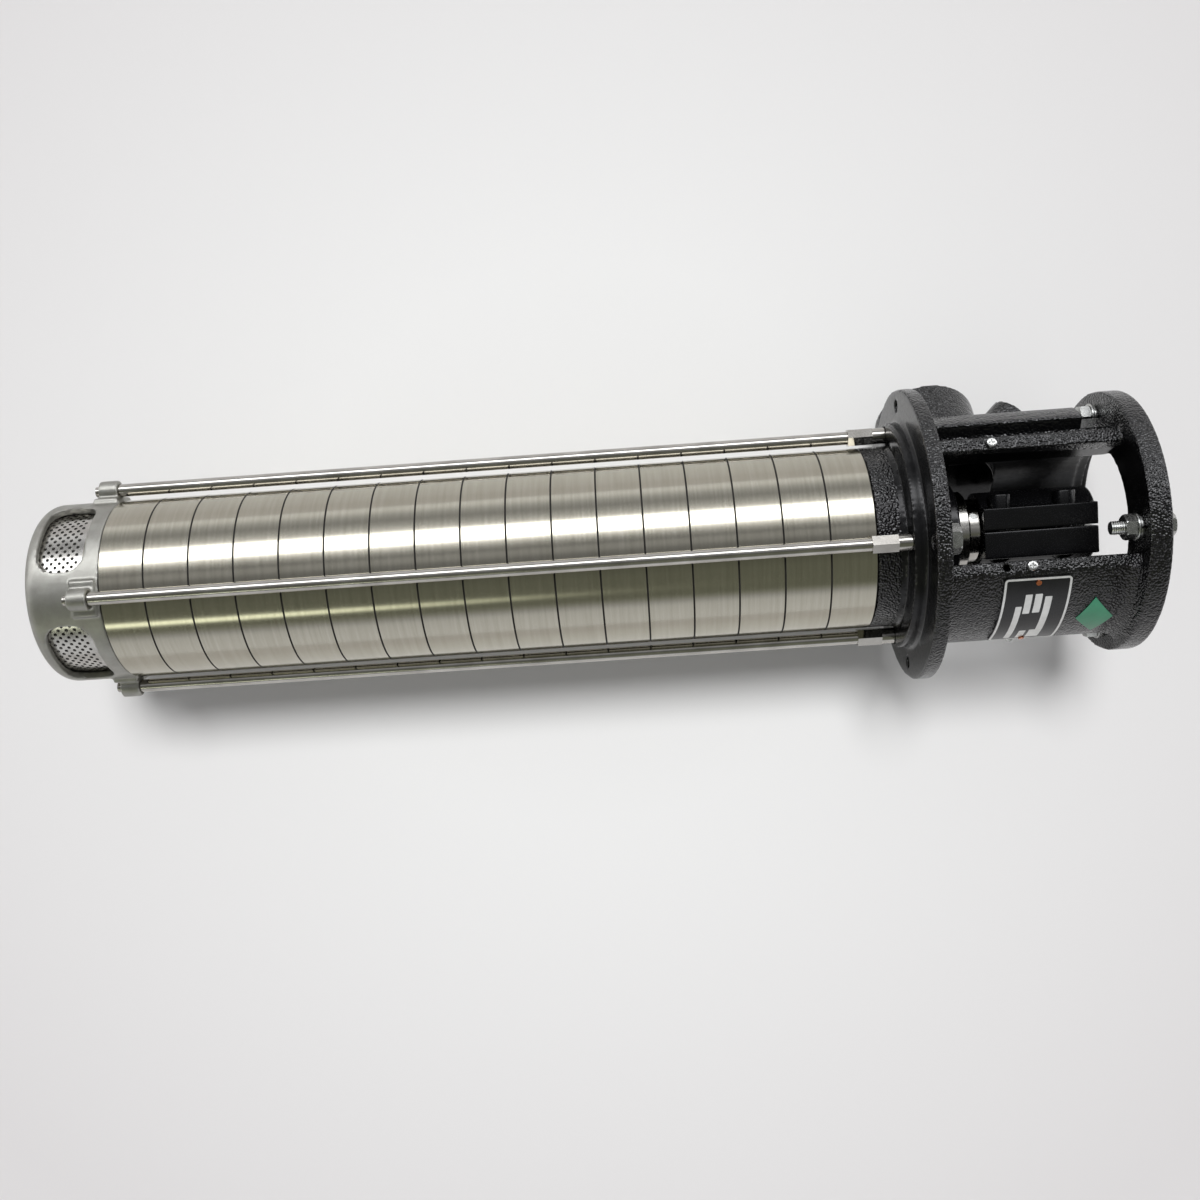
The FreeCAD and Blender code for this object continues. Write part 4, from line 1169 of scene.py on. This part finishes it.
@dataclass
class Studio:
    """The camera, the daylight, the room and the pale table.

    The levels are the room's brightness at angles round the shaft, from 0 at -Y, the camera's
    side, towards +X. They are set by the bands that the polished chambers mirror.
    """

    eye_mm: Point = (-51.917, -775.881, -168.123)
    focal_pixels: float = 1235.18
    right: Point = (0.071204, 0.02211, 0.997217)
    up: Point = (-0.992246, 0.103679, 0.068551)
    sensor_mm: float = 36.0
    clip: tuple[float, float] = (0.01, 20.0)
    table_depth: float = 95 * MM
    table_height: float = -0.2
    table_size: float = 5.0
    table_colour: str = "ecebe8"
    room_colour: str = "f6f7fa"
    floor_colour: str = "e9edd6"
    floor_places: tuple[float, ...] = (0.5, 0.53, 0.65, 0.67)
    window_strength: float = 6.0
    levels: tuple[tuple[float, float], ...] = (
        (-180.0, 0.3), (-150.0, 0.35), (-137.0, 0.85), (-126.0, 0.5), (-113.0, 0.5),
        (-106.0, 1.3), (-88.0, 1.2), (-80.0, 0.68), (-71.0, 0.43), (-62.0, 0.75),
        (-54.0, 1.3), (-52.0, 6.0), (-37.0, 6.0), (-34.0, 1.6), (-27.0, 0.6), (-21.0, 0.3),
        (-18.0, 0.55), (-13.0, 0.5), (-9.0, 0.3), (10.0, 0.18), (24.0, 0.25), (52.0, 0.25),
        (58.0, 0.42), (68.0, 0.85), (85.0, 0.95), (108.0, 0.95), (124.0, 0.65),
        (132.0, 0.2), (140.0, 0.08), (152.0, 0.12), (160.0, 0.3), (180.0, 0.3),
    )
    lamp_angle: float = 43.0
    lamp_width: float = 3.5
    lamp_strength: float = 3.0
    lamp_reach: tuple[float, float] = (-0.3, -0.05)
    light_angle: float = -25.0
    light_spread: float = 20.0
    light_energy: float = 2.8
    room_dim: float = 0.32
    # The table's colour at its far edge, darker than its middle: painted shade where the light
    # falls off.
    painted_edge_shade_colour: str = "d9d6d4"
    lit_radius: float = 200 * MM
    far_radius: float = 620 * MM

    def build(self) -> None:
        """Set up the whole studio."""
        self.camera()
        self.table()
        self.world()
        self.window_light()
        bpy.context.scene.view_settings.view_transform = "Standard"

    def camera(self) -> None:
        """Stand the camera where the photograph was taken."""
        data = bpy.data.cameras.new("photo_camera")
        data.sensor_width = self.sensor_mm
        data.sensor_fit = "HORIZONTAL"
        data.lens = data.sensor_width * self.focal_pixels / PHOTO_PIXELS
        data.clip_start, data.clip_end = self.clip
        camera = bpy.data.objects.new("photo_camera", data)
        bpy.context.collection.objects.link(camera)
        right = Vector(self.right).normalized()
        back = right.cross(Vector(self.up)).normalized()
        up = back.cross(right)
        turn = Matrix((right, up, back)).transposed()
        camera.matrix_world = Matrix.Translation(Vector(self.eye_mm) * MM) @ turn.to_4x4()
        bpy.context.scene.camera = camera

    def table(self) -> None:
        """Lay the pale table behind the pump, seen only from the pump's side, with painted shade
        towards its edges.
        """
        Modeller.clear()
        middle = (0, self.table_depth, self.table_height)
        bpy.ops.mesh.primitive_plane_add(size=self.table_size, location=middle,
                                         rotation=(radians(90), 0, 0))
        table = bpy.context.object
        table.name = "table"
        bpy.ops.object.transform_apply()
        # Melamine laminate: pale and nearly matte, so that it takes soft shadows with no glare.
        laminate = bpy.data.materials.new("matte white laminate")
        tree = Tree(laminate)
        side = tree.add("NewGeometry", out="Backfacing")
        place = tree.add("TexCoord", out="Object")
        # The table's colour darkens from lit_radius out to far_radius: a painted falloff of the
        # light, not a change in the laminate.
        far = tree.add("VectorMath", {0: place}, {1: middle}, "Value",
                       operation="DISTANCE")
        painted_falloff = tree.add("MapRange", {"Value": far},
                         {"From Min": self.lit_radius, "From Max": self.far_radius})
        tint = tree.add("ValToRGB", {"Fac": painted_falloff},
                        stops=((0.0, self.table_colour), (1.0, self.painted_edge_shade_colour)))
        white = tree.add("BsdfPrincipled", {"Base Color": tint},
                         {"Roughness": 0.7, "Specular IOR Level": 0.2})
        clear = tree.add("BsdfTransparent")
        mixed = tree.add("MixShader", {0: side, 1: white, 2: clear})
        tree.add("OutputMaterial", {"Surface": mixed})
        table.data.materials.append(laminate)

    def world(self) -> None:
        """Fill the room with light that changes round the shaft but not along it.

        The room is pale, with one long bright window above the camera and a faint one below,
        and dim between them. The camera itself sees a plain pale wall.
        """
        world = bpy.data.worlds.new("room")
        bpy.context.scene.world = world
        tree = Tree(world)
        ray = tree.add("TexCoord", out="Generated")
        axes = tree.add("SeparateXYZ", {"Vector": ray}).node.outputs
        towards = tree.add("Math", {0: axes["Y"]}, {1: -1.0}, operation="MULTIPLY")
        angle = tree.add("Math", {0: axes["X"], 1: towards}, operation="ARCTAN2")
        turns = tree.add("MapRange", {"Value": angle},
                         {"From Min": -pi, "From Max": pi})
        levels = tree.add("FloatCurve", {"Value": turns})
        self.shape(levels.node.mapping)
        strength = tree.add("Math", {0: levels}, {1: self.window_strength},
                            operation="MULTIPLY")
        total = tree.add("Math",
                         {0: strength, 1: self.low_lamp(tree, angle, axes["Z"])},
                         operation="ADD")
        bounce = tree.add("LightPath", out="Is Glossy Ray")
        mirrored = tree.add("Mix", {"Factor": bounce, "B": total},
                            {"A": self.room_dim}, data_type="FLOAT")
        colours = (self.room_colour, self.floor_colour, self.floor_colour, self.room_colour)
        tint = tree.add("ValToRGB", {"Fac": turns},
                        stops=tuple(zip(self.floor_places, colours)))
        hue = tree.add("Mix", {"Factor": bounce, MIX_B: tint},
                       {MIX_A: linear(self.room_colour)}, MIX_RESULT, data_type="RGBA")
        room = tree.add("Background", {"Strength": mirrored, "Color": hue})
        wall = tree.add("Background",
                        values={"Color": linear(self.table_colour), "Strength": 1.0})
        seen = tree.add("LightPath", out="Is Camera Ray")
        mixed = tree.add("MixShader", {0: seen, 1: room, 2: wall})
        tree.add("OutputWorld", {"Surface": mixed})

    def window_light(self) -> None:
        """Shine the daylight that casts the pump's shadow on the table.

        It isn't mirrored in the metal: the room's bright bands are what the metal shows.
        """
        data = bpy.data.lights.new("window_light", "SUN")
        data.energy = self.light_energy
        data.angle = radians(self.light_spread)
        data.color = linear(self.room_colour)[:3]
        light = bpy.data.objects.new("window_light", data)
        bpy.context.collection.objects.link(light)
        turn = radians(self.light_angle)
        towards = Vector((sin(turn), -cos(turn), 0.0))
        light.rotation_euler = towards.to_track_quat("Z", "Y").to_euler()
        light.visible_glossy = False

    def low_lamp(self, tree: Tree, angle: Socket, along: Socket) -> Socket:
        """Add the narrow lamp below the camera, which stands to the strainer's side.

        Args:
            tree: The world's tree.
            angle: The ray's angle round the shaft.
            along: The ray's part along the shaft.

        Returns:
            The lamp's brightness.
        """
        off = tree.add("Math", {0: angle}, {1: radians(self.lamp_angle)},
                       operation="SUBTRACT")
        away = tree.add("Math", {0: off}, operation="ABSOLUTE")
        across = tree.add("MapRange", {"Value": away},
                          {"From Min": radians(self.lamp_width / 2),
                           "From Max": radians(self.lamp_width),
                           "To Min": self.lamp_strength, "To Max": 0.0})
        full, gone = self.lamp_reach
        share = tree.add("MapRange", {"Value": along},
                         {"From Min": full, "From Max": gone, "To Min": 1.0, "To Max": 0.0})
        return tree.add("Math", {0: across, 1: share}, operation="MULTIPLY")

    def shape(self, mapping: bpy.types.CurveMapping) -> None:
        """Draw the room's brightness round the shaft.

        Args:
            mapping: The curve, from 0 at the back through 0.5 at the camera to 1 at the back.
        """
        mapping.extend = "HORIZONTAL"
        points = mapping.curves[0].points
        stops = [(0.5 + angle / 360, brightness / self.window_strength)
                 for angle, brightness in self.levels]
        while len(points) < len(stops):
            points.new(0.5, 0.5)
        for point, stop in zip(points, stops):
            point.location = stop
            point.handle_type = "VECTOR"
        mapping.update()


def main() -> None:
    """Build the scene in order."""
    logging.basicConfig(level=logging.INFO, format="%(message)s")
    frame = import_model()
    Studio().build()
    CarriedOver().build(frame["nodes"])
    StageStack().build()
    Screen().build()
    Castings().build(frame["nodes"])
    Fasteners().build()
    RatingPlate().build()


if __name__ == "__main__":
    main()
